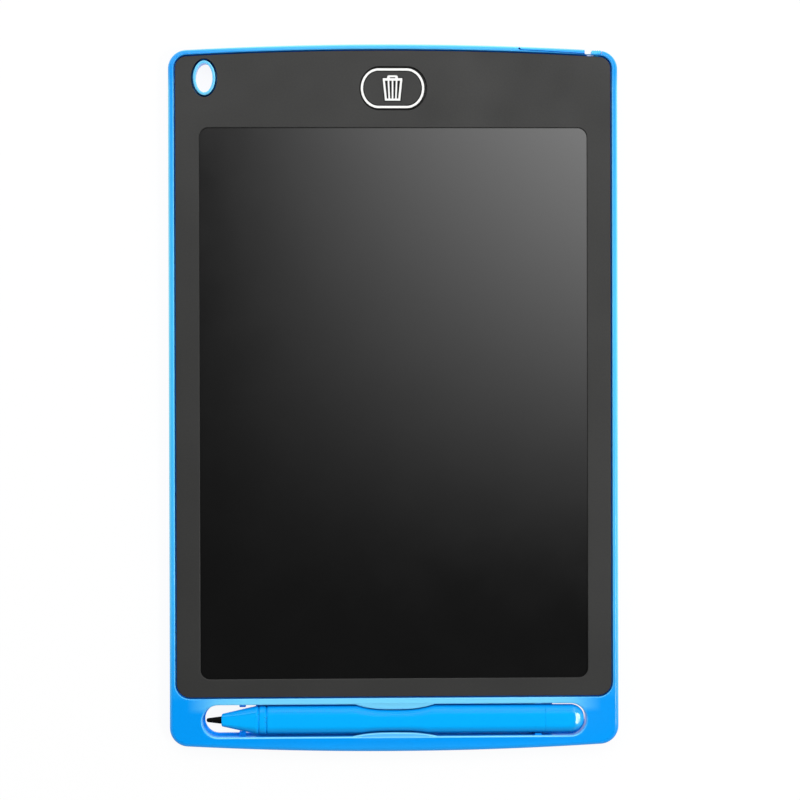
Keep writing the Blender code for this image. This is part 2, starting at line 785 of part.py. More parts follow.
def add_nub(mesh, x, side, reach, low, height):
    """A small rest on the slot's wall, narrower at its tip."""
    root = SLOT_Y + side * (SLOT_HALF + NUB_ROOT)
    tip = SLOT_Y + side * (SLOT_HALF - reach)
    outline = [
        (x - NUB_LENGTH / 2, root),
        (x - NUB_TIP_LENGTH / 2, tip),
        (x + NUB_TIP_LENGTH / 2, tip),
        (x + NUB_LENGTH / 2, root),
    ]
    add_prism(mesh, outline, low, low + height)


def stylus_slot(shell):
    """The slot across the foot, its finger windows, its snap lips and its rests."""
    top = CASE_THICKNESS
    levels = [(FLOOR, 0), (top - SLOT_CHAMFER, 0), (top + OVERRUN, -SLOT_CHAMFER - OVERRUN)]
    slot = (add_slab, lambda inset: stadium(0, SLOT_Y, SLOT_REACH - inset, SLOT_HALF - inset), levels)
    cut(shell, "stylus_slot", slot)
    reach = SLOT_REACH - FINGER_LEDGE
    half = SLOT_HALF - FINGER_LEDGE
    left = half_stadium(-reach, FINGER_LEFT - SLOT_REACH, SLOT_Y, half)
    right = half_stadium(reach, SLOT_REACH - FINGER_RIGHT, SLOT_Y, half)
    windows = [(add_prism, outline, -OVERRUN, FLOOR + OVERRUN) for outline in (left, right)]
    cut(shell, "finger_windows", *windows)
    join(shell, "snap_lips", (add_lip, 1), (add_lip, -1))
    left_x = NOSE_X + LEFT_NUB_SHARE * NOSE_LENGTH
    left_reach = SLOT_HALF - NUB_GAP - nose_half_width(left_x + NUB_TIP_LENGTH / 2)
    right_x = SLOT_REACH - RIGHT_NUB_SETBACK
    nubs = []
    for side in (-1, 1):
        nubs.append((add_nub, left_x, side, left_reach, NUB_LOW, NUB_HEIGHT))
        nubs.append((add_nub, right_x, side, RIGHT_NUB_REACH, FLOOR - SLIDE_GAP, RIGHT_NUB_HEIGHT))
    join(shell, "rests", *nubs)


def lock_height():
    """The middle height of the lock lever's stem, in its housing on the board."""
    return (BOARD_TOP + LAYER_GAP + FRAME_BACK - HOUSING_TOP_GAP) / 2


def lock_rest():
    """Where the lock lever rests across the case, at the right of its travel."""
    return LOCK_X + LOCK_OFFSET


def lock_recess(shell):
    """The notch in the head end's edge, and the slit behind it that the lever's stem runs in."""
    edge = bow_top(LOCK_X)
    notch = rounded_rectangle(LOCK_X, edge, NOTCH_LENGTH, 2 * NOTCH_DEPTH, NOTCH_CORNER)
    cut(shell, "lock_notch", (add_prism, notch, -OVERRUN, CASE_THICKNESS + OVERRUN))
    half = LOCK_STEM_WIDTH / 2 + SLIDE_GAP
    z = lock_height()
    half_height = LOCK_STEM_HEIGHT / 2 + SLIDE_GAP
    wall = tray_top(LOCK_X, LEDGE_WIDTH)
    x = (lock_rest() - LOCK_TRAVEL - half, lock_rest() + half)
    y = (wall - OVERRUN, edge - NOTCH_DEPTH / 2)
    cut(shell, "lock_slit", (add_box, x, y, (z - half_height, z + half_height)))


def rear_shell(finish_material):
    """The moulded case: tray, ribs, electronics bay, stylus slot and lanyard eye."""
    body = rounded_levels(0, CASE_THICKNESS, BACK_ROUND, FRONT_ROUND)
    shell = build("rear_shell", finish_material, (add_slab, case_outline, body))
    pocket = [
        (LEDGE_TOP, 0),
        (CASE_THICKNESS - RIM_CHAMFER, 0),
        (CASE_THICKNESS + OVERRUN, -RIM_CHAMFER - OVERRUN),
    ]
    cut(shell, "frame_pocket", (add_slab, tray_outline, pocket))
    cut(shell, "cavity", (add_prism, tray_outline(LEDGE_WIDTH), RIB_TOP, LEDGE_TOP + OVERRUN / 2))
    bay = bay_outline(LEDGE_WIDTH + BAY_STEP, bay_foot(), RIB_CELL_CORNER)
    cut(shell, "electronics_bay", (add_prism, bay, FLOOR, RIB_TOP + OVERRUN))
    cut(shell, "rib_cells", *rib_cells())
    cut(shell, "snap_grooves", *[(add_snap_groove, place) for place in snap_places()])
    join(shell, "board_pegs", *board_pegs())
    battery_bay(shell)
    lanyard_eye(shell)
    stylus_slot(shell)
    lock_recess(shell)
    return shell


# Front frame and the display behind it

def add_snap_tab(mesh, place):
    """A tab that hangs from the frame's edge, with a bead on its outer face."""
    tip = RIB_TOP + TAB_TIP
    face = -SLIDE_GAP
    inner = face - TAB_THICKNESS
    bead_low = tip + TAB_TIP
    bead_high = bead_low + TAB_BEAD_HEIGHT - TAB_TIP
    crest = TAB_BEAD - SLIDE_GAP / 2
    profile = [
        (inner, tip),
        (face, tip),
        (crest, bead_low + TAB_TIP),
        (crest, bead_high - TAB_TIP),
        (face, bead_high),
        (face, FRAME_BACK + TAB_SINK),
        (inner, FRAME_BACK + TAB_SINK),
    ]
    add_turned_profile(mesh, place, profile, TAB_LENGTH)


def front_frame(finish_material):
    """The dark frame round the display: film pocket, window, key and lanyard openings, snap tabs."""
    levels = rounded_levels(FRAME_BACK, FRAME_FACE, 0, FRAME_ROUND)
    body = (add_slab, lambda inset: tray_outline(EDGE_GAP + inset), levels)
    frame = build("front_frame", finish_material, body)
    pocket = window_outline(FILM_POCKET_MARGIN)
    cut(frame, "film_pocket", (add_prism, pocket, FRAME_BACK - OVERRUN, LIP_BACK))
    window = [
        (FRAME_BACK - OVERRUN, 0),
        (FRAME_FACE - WINDOW_CHAMFER, 0),
        (FRAME_FACE + OVERRUN, WINDOW_CHAMFER + OVERRUN),
    ]
    cut(frame, "window", (add_slab, window_outline, window))
    key = key_outline(SLIDE_GAP)
    eye = eye_outline(EYE_WALL + EDGE_GAP)
    openings = [(add_prism, outline, FRAME_BACK - OVERRUN, FRAME_FACE + OVERRUN) for outline in (key, eye)]
    cut(frame, "openings", *openings)
    join(frame, "snap_tabs", *[(add_snap_tab, place) for place in snap_places()])
    return frame


def writing_film(finish_material):
    """The clear writing film, which shows in the window."""
    outline = window_outline(FILM_MARGIN)
    top = FILM_BOTTOM + FILM_THICKNESS
    return build("writing_film", finish_material, (add_prism, outline, FILM_BOTTOM, top))


def panel_tape(finish_material):
    """The adhesive ring between the film's edge and the frame's lip."""
    top = TAPE_BOTTOM + TAPE_THICKNESS
    tape = build("panel_tape", finish_material, (add_prism, window_outline(FILM_MARGIN), TAPE_BOTTOM, top))
    inner = window_outline(TAPE_SETBACK)
    cut(tape, "opening", (add_prism, inner, TAPE_BOTTOM - OVERRUN, top + OVERRUN))
    return tape


def contact_tab_x():
    """Where the display's contact tab and its ribbon lie across the case, right of the key."""
    return KEY_WIDTH / 2 + RIBBON_OFFSET


def lcd_panel(finish_material):
    """The liquid-crystal sheet behind the film, with a contact tab at its head."""
    width = WINDOW_WIDTH + 2 * FILM_MARGIN
    length = WINDOW_LENGTH + 2 * FILM_MARGIN
    body = rounded_rectangle(0, WINDOW_Y, width, length, PANEL_CORNER)
    head = WINDOW_Y + length / 2
    left = contact_tab_x() - CONTACT_TAB_WIDTH / 2
    right = left + CONTACT_TAB_WIDTH
    end = head + CONTACT_TAB_LENGTH
    tab = [(right, head), (right, end), (left, end), (left, head)]
    steps = 2 * (CORNER_STEPS + 1)
    outline = body[:steps] + tab + body[steps:]
    top = PANEL_BOTTOM + PANEL_THICKNESS
    return build("lcd_panel", finish_material, (add_prism, outline, PANEL_BOTTOM, top))


def support_plate(finish_material):
    """The stiff plate that backs the display, between the frame's tabs."""
    margin = SLIDE_GAP + TAB_THICKNESS + PLATE_TO_TAB
    width = 2 * (CAVITY_HALF - margin)
    low = CAVITY_FOOT + margin
    high = bay_foot() - SLIDE_GAP
    outline = rounded_rectangle(0, (low + high) / 2, width, high - low, PLATE_CORNER)
    top = PLATE_BOTTOM + PLATE_THICKNESS
    return build("support_plate", finish_material, (add_prism, outline, PLATE_BOTTOM, top))


def display_ribbon(finish_material):
    """The flat ribbon from under the contact tab down to the circuit board."""
    head = WINDOW_Y + WINDOW_LENGTH / 2 + FILM_MARGIN
    high = PANEL_BOTTOM - LAYER_GAP - RIBBON_THICKNESS / 2
    low = BOARD_TOP + LAYER_GAP + RIBBON_THICKNESS / 2
    end = head + CONTACT_TAB_LENGTH
    drop = high - low
    path = [(head + SLIDE_GAP, high), (end, high), (end + drop, low), (end + drop + RIBBON_FOOT, low)]
    profile = strip_profile(path, RIBBON_THICKNESS)
    return build("display_ribbon", finish_material, (add_across, profile, contact_tab_x(), RIBBON_WIDTH))


# Erase key and electronics

def erase_key(finish_material):
    """The key cap: a flange behind the frame, a hollow underside and a short stem."""
    top = FRAME_FACE + KEY_PROUD
    rings = [(KEY_BOTTOM, -KEY_FLANGE), (KEY_FLANGE_TOP, -KEY_FLANGE)]
    rings += rounded_levels(KEY_FLANGE_TOP, top, 0, KEY_ROUND)
    key = build("erase_key", finish_material, (add_slab, lambda inset: key_outline(-inset), rings))
    hollow = key_outline(-KEY_WALL)
    cut(key, "hollow", (add_prism, hollow, KEY_BOTTOM - OVERRUN, top - KEY_TOP_SKIN))
    stem = [(KEY_STEM / 2, STEM_BOTTOM), (KEY_STEM / 2, top - KEY_TOP_SKIN / 2)]
    join(key, "stem", (add_turned, 0, KEY_Y, stem))
    return key


def erase_switch(finish_material):
    """The low switch body on the board, open above for its plunger."""
    low = BOARD_TOP + LAYER_GAP
    outline = rounded_rectangle(0, KEY_Y, SWITCH_WIDTH, SWITCH_WIDTH, SWITCH_BORE / 4, 2)
    body = build("erase_switch", finish_material, (add_prism, outline, low, SWITCH_TOP))
    bore = [(SWITCH_BORE / 2, low + SWITCH_FLOOR), (SWITCH_BORE / 2, SWITCH_TOP + OVERRUN)]
    cut(body, "bore", (add_turned, 0, KEY_Y, bore))
    return body


def switch_plunger(finish_material):
    """The round plunger between the key's stem and the switch."""
    low = BOARD_TOP + LAYER_GAP + SWITCH_FLOOR + KEY_TRAVEL + LAYER_GAP
    high = STEM_BOTTOM - LAYER_GAP
    profile = [(PLUNGER / 2, low), (PLUNGER / 2, high)]
    return build("switch_plunger", finish_material, (add_turned, 0, KEY_Y, profile))


def circuit_board(finish_material):
    """The board in the head end, cut to the bowed wall and drilled for its pegs."""
    foot = board_foot()
    outline = bay_outline(LEDGE_WIDTH + BOARD_GAP, foot, RIB_CELL_CORNER)
    board = build("circuit_board", finish_material, (add_prism, outline, BOARD_BOTTOM, BOARD_TOP))
    low = BOARD_BOTTOM - OVERRUN
    high = BOARD_TOP + OVERRUN
    spare = ((-HALF_WIDTH, -BOARD_LEFT), (foot - OVERRUN, HALF_LENGTH), (low, high))
    cut(board, "left_end", (add_box, *spare))
    hole = [(PEG_HOLE / 2, low), (PEG_HOLE / 2, high)]
    cut(board, "peg_holes", *[(add_turned, x, y, hole) for x, y in peg_places()])
    return board


def driver_chip(finish_material):
    """The driver chip with a row of bent legs down each side."""
    x = KEY_WIDTH / 2 + CHIP_OFFSET
    low = BOARD_TOP + LAYER_GAP
    outline = rectangle(x, KEY_Y, CHIP_WIDTH, CHIP_LENGTH)
    chip = build("driver_chip", finish_material, (add_prism, outline, low + LAYER_GAP, low + CHIP_HEIGHT))
    legs = []
    middle = low + CHIP_HEIGHT / 2
    for side in (-1, 1):
        root = x + side * (CHIP_WIDTH / 2 - LEG_THICKNESS)
        bend = root + side * LEG_REACH
        path = [(root, middle), (bend, middle), (bend, low)]
        for leg in range(LEG_COUNT):
            y = KEY_Y + CHIP_LENGTH * ((leg + 1 / 2) / LEG_COUNT - 1 / 2)
            legs.append((add_along, strip_profile(path, LEG_THICKNESS), y, LEG_WIDTH))
    join(chip, "legs", *legs)
    return chip


def boost_inductor(finish_material):
    """The drum of the inductor that steps the cell's voltage up."""
    x = KEY_WIDTH / 2 + CHIP_OFFSET + CHIP_WIDTH / 2 + LEG_REACH + COMPONENT_SPACING + INDUCTOR / 2
    low = BOARD_TOP + LAYER_GAP
    high = low + INDUCTOR_HEIGHT
    wide = INDUCTOR / 2
    narrow = wide - INDUCTOR_WAIST
    levels = (low, low + INDUCTOR_FLANGE, high - INDUCTOR_FLANGE, high)
    profile = [
        (wide, levels[0]),
        (wide, levels[1]),
        (narrow, levels[1]),
        (narrow, levels[2]),
        (wide, levels[2]),
        (wide, levels[3]),
    ]
    return build("boost_inductor", finish_material, (add_turned, x, KEY_Y, profile))


def capacitor(name, side, finish_material):
    """One of the two storage capacitors beside the inductor."""
    x = KEY_WIDTH / 2 + CHIP_OFFSET + CHIP_WIDTH / 2 + LEG_REACH + 2 * COMPONENT_SPACING + INDUCTOR
    y = KEY_Y + side * (CAPACITOR_WIDTH / 2 + COMPONENT_SPACING / 4)
    low = BOARD_TOP + LAYER_GAP
    levels = [
        (low, CAPACITOR_EDGE),
        (low + CAPACITOR_EDGE, 0),
        (low + CAPACITOR_HEIGHT - CAPACITOR_EDGE, 0),
        (low + CAPACITOR_HEIGHT, CAPACITOR_EDGE),
    ]

    def outline(inset):
        return rectangle(x, y, CAPACITOR_LENGTH - 2 * inset, CAPACITOR_WIDTH - 2 * inset)

    return build(name, finish_material, (add_slab, outline, levels))


# Lock switch

def lock_inner_y():
    """Where the lock housing's open side faces the case wall."""
    return tray_top(LOCK_X, LEDGE_WIDTH) - HOUSING_GAP


def lock_switch(finish_material):
    """The slide switch on the board, hollow and open towards the case wall."""
    high_y = lock_inner_y()
    low_y = high_y - HOUSING_LENGTH
    low = BOARD_TOP + LAYER_GAP
    high = FRAME_BACK - HOUSING_TOP_GAP
    half = (LOCK_TRAVEL + LOCK_FOOT_WIDTH) / 2 + SLIDE_GAP
    middle = lock_rest() - LOCK_TRAVEL / 2
    outer = half + HOUSING_WALL
    box = ((middle - outer, middle + outer), (low_y, high_y), (low, high))
    housing = build("lock_switch", finish_material, (add_box, *box))
    wall = HOUSING_WALL
    hollow = (
        (middle - half, middle + half),
        (low_y + wall, high_y + OVERRUN),
        (low + wall / 2, high - wall / 2),
    )
    cut(housing, "hollow", (add_box, *hollow))
    return housing


def lock_lever(finish_material):
    """The slider: a ridged thumb piece outside, a stem through the wall and a foot in the housing."""
    x = lock_rest()
    z = lock_height()
    foot = lock_inner_y() - HOUSING_LENGTH + HOUSING_WALL + SLIDE_GAP
    edge = bow_top(LOCK_X)
    low = z - LOCK_THUMB_HEIGHT / 2
    back = edge - NOTCH_DEPTH + SLIDE_GAP
    front = edge - LOCK_THUMB_RIDGE - SEAT_GAP
    half = LOCK_STEM_WIDTH / 2
    wide = LOCK_FOOT_WIDTH / 2
    shoulder = foot + LOCK_FOOT_LENGTH
    stem = [
        (x - wide, foot),
        (x + wide, foot),
        (x + wide, shoulder),
        (x + half, shoulder),
        (x + half, (back + front) / 2),
        (x - half, (back + front) / 2),
        (x - half, shoulder),
        (x - wide, shoulder),
    ]
    half_height = LOCK_STEM_HEIGHT / 2
    lever = build("lock_lever", finish_material, (add_prism, stem, z - half_height, z + half_height))
    pitch = LOCK_THUMB_WIDTH / LOCK_THUMB_RIDGES
    right = x + LOCK_THUMB_WIDTH / 2
    thumb = [(x - LOCK_THUMB_WIDTH / 2, back), (right, back), (right, front)]
    for ridge in range(LOCK_THUMB_RIDGES):
        thumb.append((right - (ridge + 1 / 2) * pitch, front + LOCK_THUMB_RIDGE))
        thumb.append((right - (ridge + 1) * pitch, front))
    join(lever, "thumb", (add_prism, thumb, low, low + LOCK_THUMB_HEIGHT))
    return lever


# Coin cell, its contacts and its door

def coin_cell(finish_material):
    """The coin cell in its well, with chamfered edges."""
    side = CELL / 2
    inner = side - CELL_EDGE
    profile = [
        (inner, CELL_BOTTOM),
        (side, CELL_BOTTOM + CELL_EDGE),
        (side, CELL_TOP - CELL_EDGE),
        (inner, CELL_TOP),
    ]
    return build("coin_cell", finish_material, (add_turned, CELL_X, cell_y(), profile))


def contact_foot():
    """The two ends along X of a contact's solder foot, near the board's left edge."""
    left = -BOARD_LEFT + SLIDE_GAP
    return (left, left + CONTACT_FOOT)


def cell_contact_negative(finish_material):
    """The spring strip that bears on the inner face of the cell."""
    left, right = contact_foot()
    low = BOARD_TOP + LAYER_GAP + CONTACT_THICKNESS / 2
    touch = CELL_TOP + LAYER_GAP + CONTACT_THICKNESS / 2
    high = touch + CONTACT_THICKNESS
    rise = high - low
    dimple = CELL_X + CONTACT_DIMPLE / 2
    path = [
        (right, low),
        (left + rise, low),
        (left - SLIDE_GAP, high),
        (dimple + CONTACT_DIMPLE, high),
        (dimple, touch),
        (dimple - CONTACT_DIMPLE, touch),
        (dimple - 2 * CONTACT_DIMPLE, high),
        (dimple - 2 * CONTACT_DIMPLE - CONTACT_FOOT, high),
    ]
    profile = strip_profile(path, CONTACT_THICKNESS)
    return build("cell_contact_negative", finish_material, (add_along, profile, cell_y(), CONTACT_WIDTH))


def cell_contact_positive(finish_material):
    """The leaf that hangs beside the cell and bears on its rim, through the gap in the well."""
    y = cell_y() - LEAF_SET
    near = LEAF_SET - LEAF_WIDTH / 2
    rim = CELL_X + math.sqrt((CELL / 2) ** 2 - near ** 2)
    touch = rim + SEAT_GAP + CONTACT_THICKNESS / 2
    right = contact_foot()[1]
    low = BOARD_TOP + LAYER_GAP + CONTACT_THICKNESS / 2
    path = [(right, low), (touch, low), (touch, PAD_TOP + SEAT_GAP)]
    profile = strip_profile(path, CONTACT_THICKNESS)
    return build("cell_contact_positive", finish_material, (add_along, profile, y, LEAF_WIDTH))


def battery_door(finish_material):
    """The cover in the back: locating lugs, a screw hole and a groove for a fingernail."""
    door = build("battery_door", finish_material, (add_prism, door_outline(), DOOR_BOTTOM, DOOR_TOP))
    head = SCREW_HEAD / 2 + SLIDE_GAP
    shaft = SCREW / 2 + SLIDE_GAP
    hole = [
        (head, DOOR_BOTTOM - OVERRUN),
        (head, DOOR_BOTTOM + SEAT_GAP),
        (shaft, DOOR_TOP),
        (shaft, DOOR_TOP + OVERRUN),
    ]
    cut(door, "screw_hole", (add_turned, BOSS_X, cell_y(), hole))
    x = CELL_X + WELL_RADIUS - NAIL_WIDTH
    low = DOOR_BOTTOM - OVERRUN
    groove = [
        (x, low),
        (x + NAIL_WIDTH, low),
        (x + NAIL_WIDTH, DOOR_BOTTOM),
        (x + NAIL_WIDTH / 2, DOOR_BOTTOM + NAIL_DEPTH),
        (x, DOOR_BOTTOM),
    ]
    cut(door, "nail_groove", (add_along, groove, cell_y(), NAIL_LENGTH))
    return door


def door_screw(finish_material):
    """The small countersunk screw that holds the door."""
    low = DOOR_BOTTOM + SEAT_GAP / 2
    profile = [
        (SCREW_HEAD / 2, low),
        (SCREW_HEAD / 2, DOOR_BOTTOM + SEAT_GAP),
        (SCREW / 2, DOOR_TOP - SEAT_GAP),
        (SCREW / 2, low + SCREW_LENGTH),
    ]
    screw = build("door_screw", finish_material, (add_turned, BOSS_X, cell_y(), profile))
    half = SCREW_RECESS_WIDTH / 2
    reach = SCREW_RECESS_LENGTH / 2
    corners = ((reach, half), (half, half), (half, reach))
    cross = []
    for quarter in range(4):
        turn = Matrix.Rotation(quarter * math.pi / 2, 2)
        for corner in corners:
            point = turn @ Vector(corner)
            cross.append((BOSS_X + point.x, cell_y() + point.y))
    cut(screw, "cross_recess", (add_prism, cross, low - OVERRUN, low + SCREW_RECESS))
    return screw


# Stylus

def pen_ring(x, half_width, half_height):
    """A cross-section of the stylus: flat above and below, round at its sides."""
    radius = PEN_ROUND_SHARE * min(half_height, half_width)
    section = rounded_rectangle(SLOT_Y, PEN_Z, 2 * half_width, 2 * half_height, radius, PEN_STEPS)
    return [(x, y, z) for y, z in section]


def axial_ring(x, radius):
    """A round cross-section on the stylus' own axis."""
    return [(x, y, z) for y, z in circle(SLOT_Y, PEN_Z, radius)]


def nose_half_width(x):
    """Half the width of the tapered nose at a place along it."""
    share = min(max((x - NOSE_X) / NOSE_LENGTH, 0), 1)
    return NOSE_WIDTH / 2 + (PEN_HALF - NOSE_WIDTH / 2) * share


def barrel_half_width(x):
    """Half the width of the barrel, waisted between the snap lips so that it lifts out."""
    return min(PEN_HALF, SLOT_HALF - lip_reach(x) - PEN_LIP_GAP)


def stylus_nib(finish_material):
    """The round dark nib, with its shank in the nose."""
    step = NIB_POINT / 3
    base = NOSE_X - SEAT_GAP
    stations = [
        (TIP_X, NIB_POINT / 4),
        (TIP_X + step / 2, NIB_POINT / 2 - step / 3),
        (TIP_X + 2 * step, NIB_POINT / 2 + step / 3),
        (base, NIB_BASE / 2),
        (base, NIB_SHANK / 2),
        (base + NIB_SHANK_LENGTH, NIB_SHANK / 2),
    ]
    rings = [axial_ring(x, radius) for x, radius in stations]
    return build("stylus_nib", finish_material, (add_loft, rings))


def stylus_nose(finish_material):
    """The tapered nose with its grooved collar, and the spigot that fits the barrel."""
    half_height = PEN_THICKNESS / 2
    small = NOSE_THICKNESS / 2
    groove = COLLAR_X + COLLAR_GROOVE_SET
    spigot = BARREL_BORE_WIDTH / 2 - SPIGOT_GAP
    spigot_height = BARREL_BORE_HEIGHT / 2 - SPIGOT_GAP
    stations = [
        (NOSE_X, NOSE_WIDTH / 2 - NOSE_ROUND, small - NOSE_ROUND),
        (NOSE_X + NOSE_ROUND, nose_half_width(NOSE_X + NOSE_ROUND), small),
        (COLLAR_X, PEN_HALF, half_height),
        (groove - GROOVE_WIDTH / 2, PEN_HALF, half_height),
        (groove, PEN_HALF - GROOVE_DEPTH, half_height - GROOVE_DEPTH),
        (groove + GROOVE_WIDTH / 2, PEN_HALF, half_height),
        (BARREL_X - GROOVE_DEPTH, PEN_HALF, half_height),
        (BARREL_X, PEN_HALF - GROOVE_DEPTH, half_height - GROOVE_DEPTH),
        (BARREL_X, spigot, spigot_height),
        (BARREL_X + SPIGOT_LENGTH, spigot, spigot_height),
    ]
    nose = build("stylus_nose", finish_material, (add_loft, [pen_ring(*station) for station in stations]))
    radius = NIB_SHANK / 2 + NIB_FIT
    bore = [axial_ring(x, radius) for x in (NOSE_X - OVERRUN, NOSE_X + NIB_SHANK_LENGTH + NIB_FIT)]
    cut(nose, "nib_bore", (add_loft, bore))
    return nose


def waist_places():
    """Places along the barrel's waist for its cross-sections, the same as along the lips."""
    return [LIP_LENGTH * (step / LIP_STEPS - 1 / 2) for step in range(LIP_STEPS + 1)]


def stylus_barrel(finish_material):
    """The barrel: a flat tube, eased in between the snap lips."""
    half_height = PEN_THICKNESS / 2
    start = BARREL_X + SEAT_GAP
    end = CAP_X
    low = (PEN_HALF - GROOVE_DEPTH, half_height - GROOVE_DEPTH)
    stations = [(start, *low), (start + GROOVE_DEPTH, PEN_HALF, half_height)]
    stations += [(x, barrel_half_width(x), half_height) for x in waist_places()]
    stations += [(end, PEN_HALF, half_height)]
    rings = [pen_ring(*station) for station in stations]
    barrel = build("stylus_barrel", finish_material, (add_loft, rings))
    ends = (start - OVERRUN, end + OVERRUN)
    bore = [pen_ring(x, BARREL_BORE_WIDTH / 2, BARREL_BORE_HEIGHT / 2) for x in ends]
    cut(barrel, "bore", (add_loft, bore))
    return barrel


def stylus_end_cap(finish_material):
    """The rounded tail, with its own spigot in the barrel."""
    half_height = PEN_THICKNESS / 2
    start = CAP_X + SEAT_GAP
    spigot = BARREL_BORE_WIDTH / 2 - SPIGOT_GAP
    spigot_height = BARREL_BORE_HEIGHT / 2 - SPIGOT_GAP
    stations = [
        (start - SPIGOT_LENGTH, spigot, spigot_height),
        (start, spigot, spigot_height),
        (start, PEN_HALF, half_height),
    ]
    for step in range(CORNER_STEPS + 1):
        angle = math.pi / 2 * step / CORNER_STEPS
        share = math.cos(angle)
        wide = CAP_END_WIDTH_SHARE + (1 - CAP_END_WIDTH_SHARE) * share
        high = CAP_END_HEIGHT_SHARE + (1 - CAP_END_HEIGHT_SHARE) * share
        x = TAIL_X - CAP_ROUND * (1 - math.sin(angle))
        stations.append((x, PEN_HALF * wide, half_height * high))
    return build("stylus_end_cap", finish_material, (add_loft, [pen_ring(*station) for station in stations]))


# The whole tablet

def clear_scene():
    """Start from an empty scene."""
    for item in list(bpy.data.objects):
        bpy.data.objects.remove(item, do_unlink=True)


def main():
    """Model every piece and hang the moving ones on their joints."""
    clear_scene()
    blue = material("blue_plastic", (0.01, 0.60, 0.96), 0.32)
    pen_blue = material("stylus_plastic", (0.06, 0.68, 0.99), 0.28)
    dark = material("dark_textured_plastic", (0.24, 0.24, 0.24), 0.62)
    film = material("display_film", (0.05, 0.06, 0.055), 0.12)
    crystal = material("liquid_crystal_sheet", (0.03, 0.05, 0.04), 0.35)
    tape = material("adhesive_tape", (0.85, 0.85, 0.80), 0.75)
    plate = material("stiff_plate", (0.80, 0.80, 0.78), 0.60)
    amber = material("ribbon_film", (0.72, 0.42, 0.12), 0.40)
    green = material("board_laminate", (0.05, 0.33, 0.16), 0.45)
    black = material("component_black", (0.06, 0.06, 0.065), 0.50)
    brown = material("capacitor_ceramic", (0.60, 0.46, 0.30), 0.55)
    steel = material("steel", (0.72, 0.73, 0.74), 0.28, 1)
    nib = material("nib_plastic", (0.05, 0.055, 0.05), 0.45)

    rear_shell(blue)
    front_frame(dark)
    writing_film(film)
    panel_tape(tape)
    lcd_panel(crystal)
    support_plate(plate)
    display_ribbon(amber)
    circuit_board(green)
    driver_chip(black)
    boost_inductor(black)
    capacitor("capacitor_upper", 1, brown)
    capacitor("capacitor_lower", -1, brown)
    erase_switch(black)
    lock_switch(steel)
    coin_cell(steel)
    cell_contact_negative(steel)
    cell_contact_positive(steel)

    key = erase_key(dark)
    plunger = switch_plunger(black)
    carry("erase_key_axis", (0, KEY_Y, KEY_BOTTOM), key, plunger)

    lever = lock_lever(blue)
    carry("lock_lever_axis", (lock_rest(), bow_top(LOCK_X), lock_height()), lever)

    door = battery_door(blue)
    screw = door_screw(steel)
    carry("battery_door_axis", (CELL_X, cell_y(), DOOR_BOTTOM), door, screw)

    stylus = [
        stylus_nib(nib),
        stylus_nose(pen_blue),
        stylus_barrel(pen_blue),
        stylus_end_cap(pen_blue),
    ]
    carry("stylus_axis", (0, SLOT_Y, PEN_Z), *stylus)


main()
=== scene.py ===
"""LCD writing tablet: the finer pieces, finishes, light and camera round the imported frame."""

import math

import bmesh
import bpy
from mathutils import Matrix, Vector


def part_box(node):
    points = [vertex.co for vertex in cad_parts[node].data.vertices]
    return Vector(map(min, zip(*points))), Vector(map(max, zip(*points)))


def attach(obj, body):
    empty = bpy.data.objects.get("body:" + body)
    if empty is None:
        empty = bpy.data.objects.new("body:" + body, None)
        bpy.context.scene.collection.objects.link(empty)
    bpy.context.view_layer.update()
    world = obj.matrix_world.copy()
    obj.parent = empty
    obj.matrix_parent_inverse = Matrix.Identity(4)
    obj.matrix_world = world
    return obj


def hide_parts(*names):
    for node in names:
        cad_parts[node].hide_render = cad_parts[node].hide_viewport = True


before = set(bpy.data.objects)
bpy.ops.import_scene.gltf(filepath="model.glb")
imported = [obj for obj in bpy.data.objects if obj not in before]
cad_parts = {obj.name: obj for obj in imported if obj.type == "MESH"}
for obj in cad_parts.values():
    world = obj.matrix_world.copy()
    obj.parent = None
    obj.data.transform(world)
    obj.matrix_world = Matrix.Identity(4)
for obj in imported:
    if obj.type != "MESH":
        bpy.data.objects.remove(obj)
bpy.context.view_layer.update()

# Display window, the film's pocket behind it and the frame's edges
WINDOW_WIDTH = 0.1237
WINDOW_LENGTH = 0.1757
WINDOW_CORNER = 0.0030
WINDOW_EDGE = 0.00022
FRAME_EDGE = 0.0002
FRAME_HOLE_EDGE = 0.0001
WINDOW_Y = -0.00168
FILM_POCKET_MARGIN = 0.0030

# Case outline
HALF_WIDTH = 0.0717
HALF_LENGTH = 0.11285
END_BOW = 0.00225
CASE_CORNER = 0.0060
FOOT_CORNER = 0.0048
RIM_WIDTH = 0.00185
HEAD_RIM_TRIM = 0.0002
RIM_EDGE = 0.00036
BACK_ROUND = 0.0016
CROWN_WIDTH = 0.0014
CROWN_DROP = 0.0011
LEDGE_WIDTH = 0.0012
GUTTER_WIDTH = 0.0006
POCKET_FOOT = -0.09572
BOW_RADIUS = (HALF_WIDTH ** 2 + END_BOW ** 2) / (2 * END_BOW)
BOW_CENTRE = HALF_LENGTH - BOW_RADIUS
CAVITY_HALF = HALF_WIDTH - RIM_WIDTH - LEDGE_WIDTH
CAVITY_FOOT = POCKET_FOOT + LEDGE_WIDTH

# Heights through the case
FLOOR = 0.0010
RIB_TOP = 0.00255
FRAME_BACK = 0.0039
FRAME_FACE = 0.0047
LIP_BACK = 0.00435
LEDGE_TOP = 0.0038
GUTTER_LOW = 0.0026
CASE_TOP = 0.0050
PAD_TOP = 0.00175
PAD_BOTTOM = 0.00105

# Clearances, and how far cutters run past a face and joined solids into one
EDGE_GAP = 0.00045
SLIDE_GAP = 0.0002
SEAM_GAP = 0.00003
OVERRUN = 0.0010
JOIN_DEPTH = 0.0002

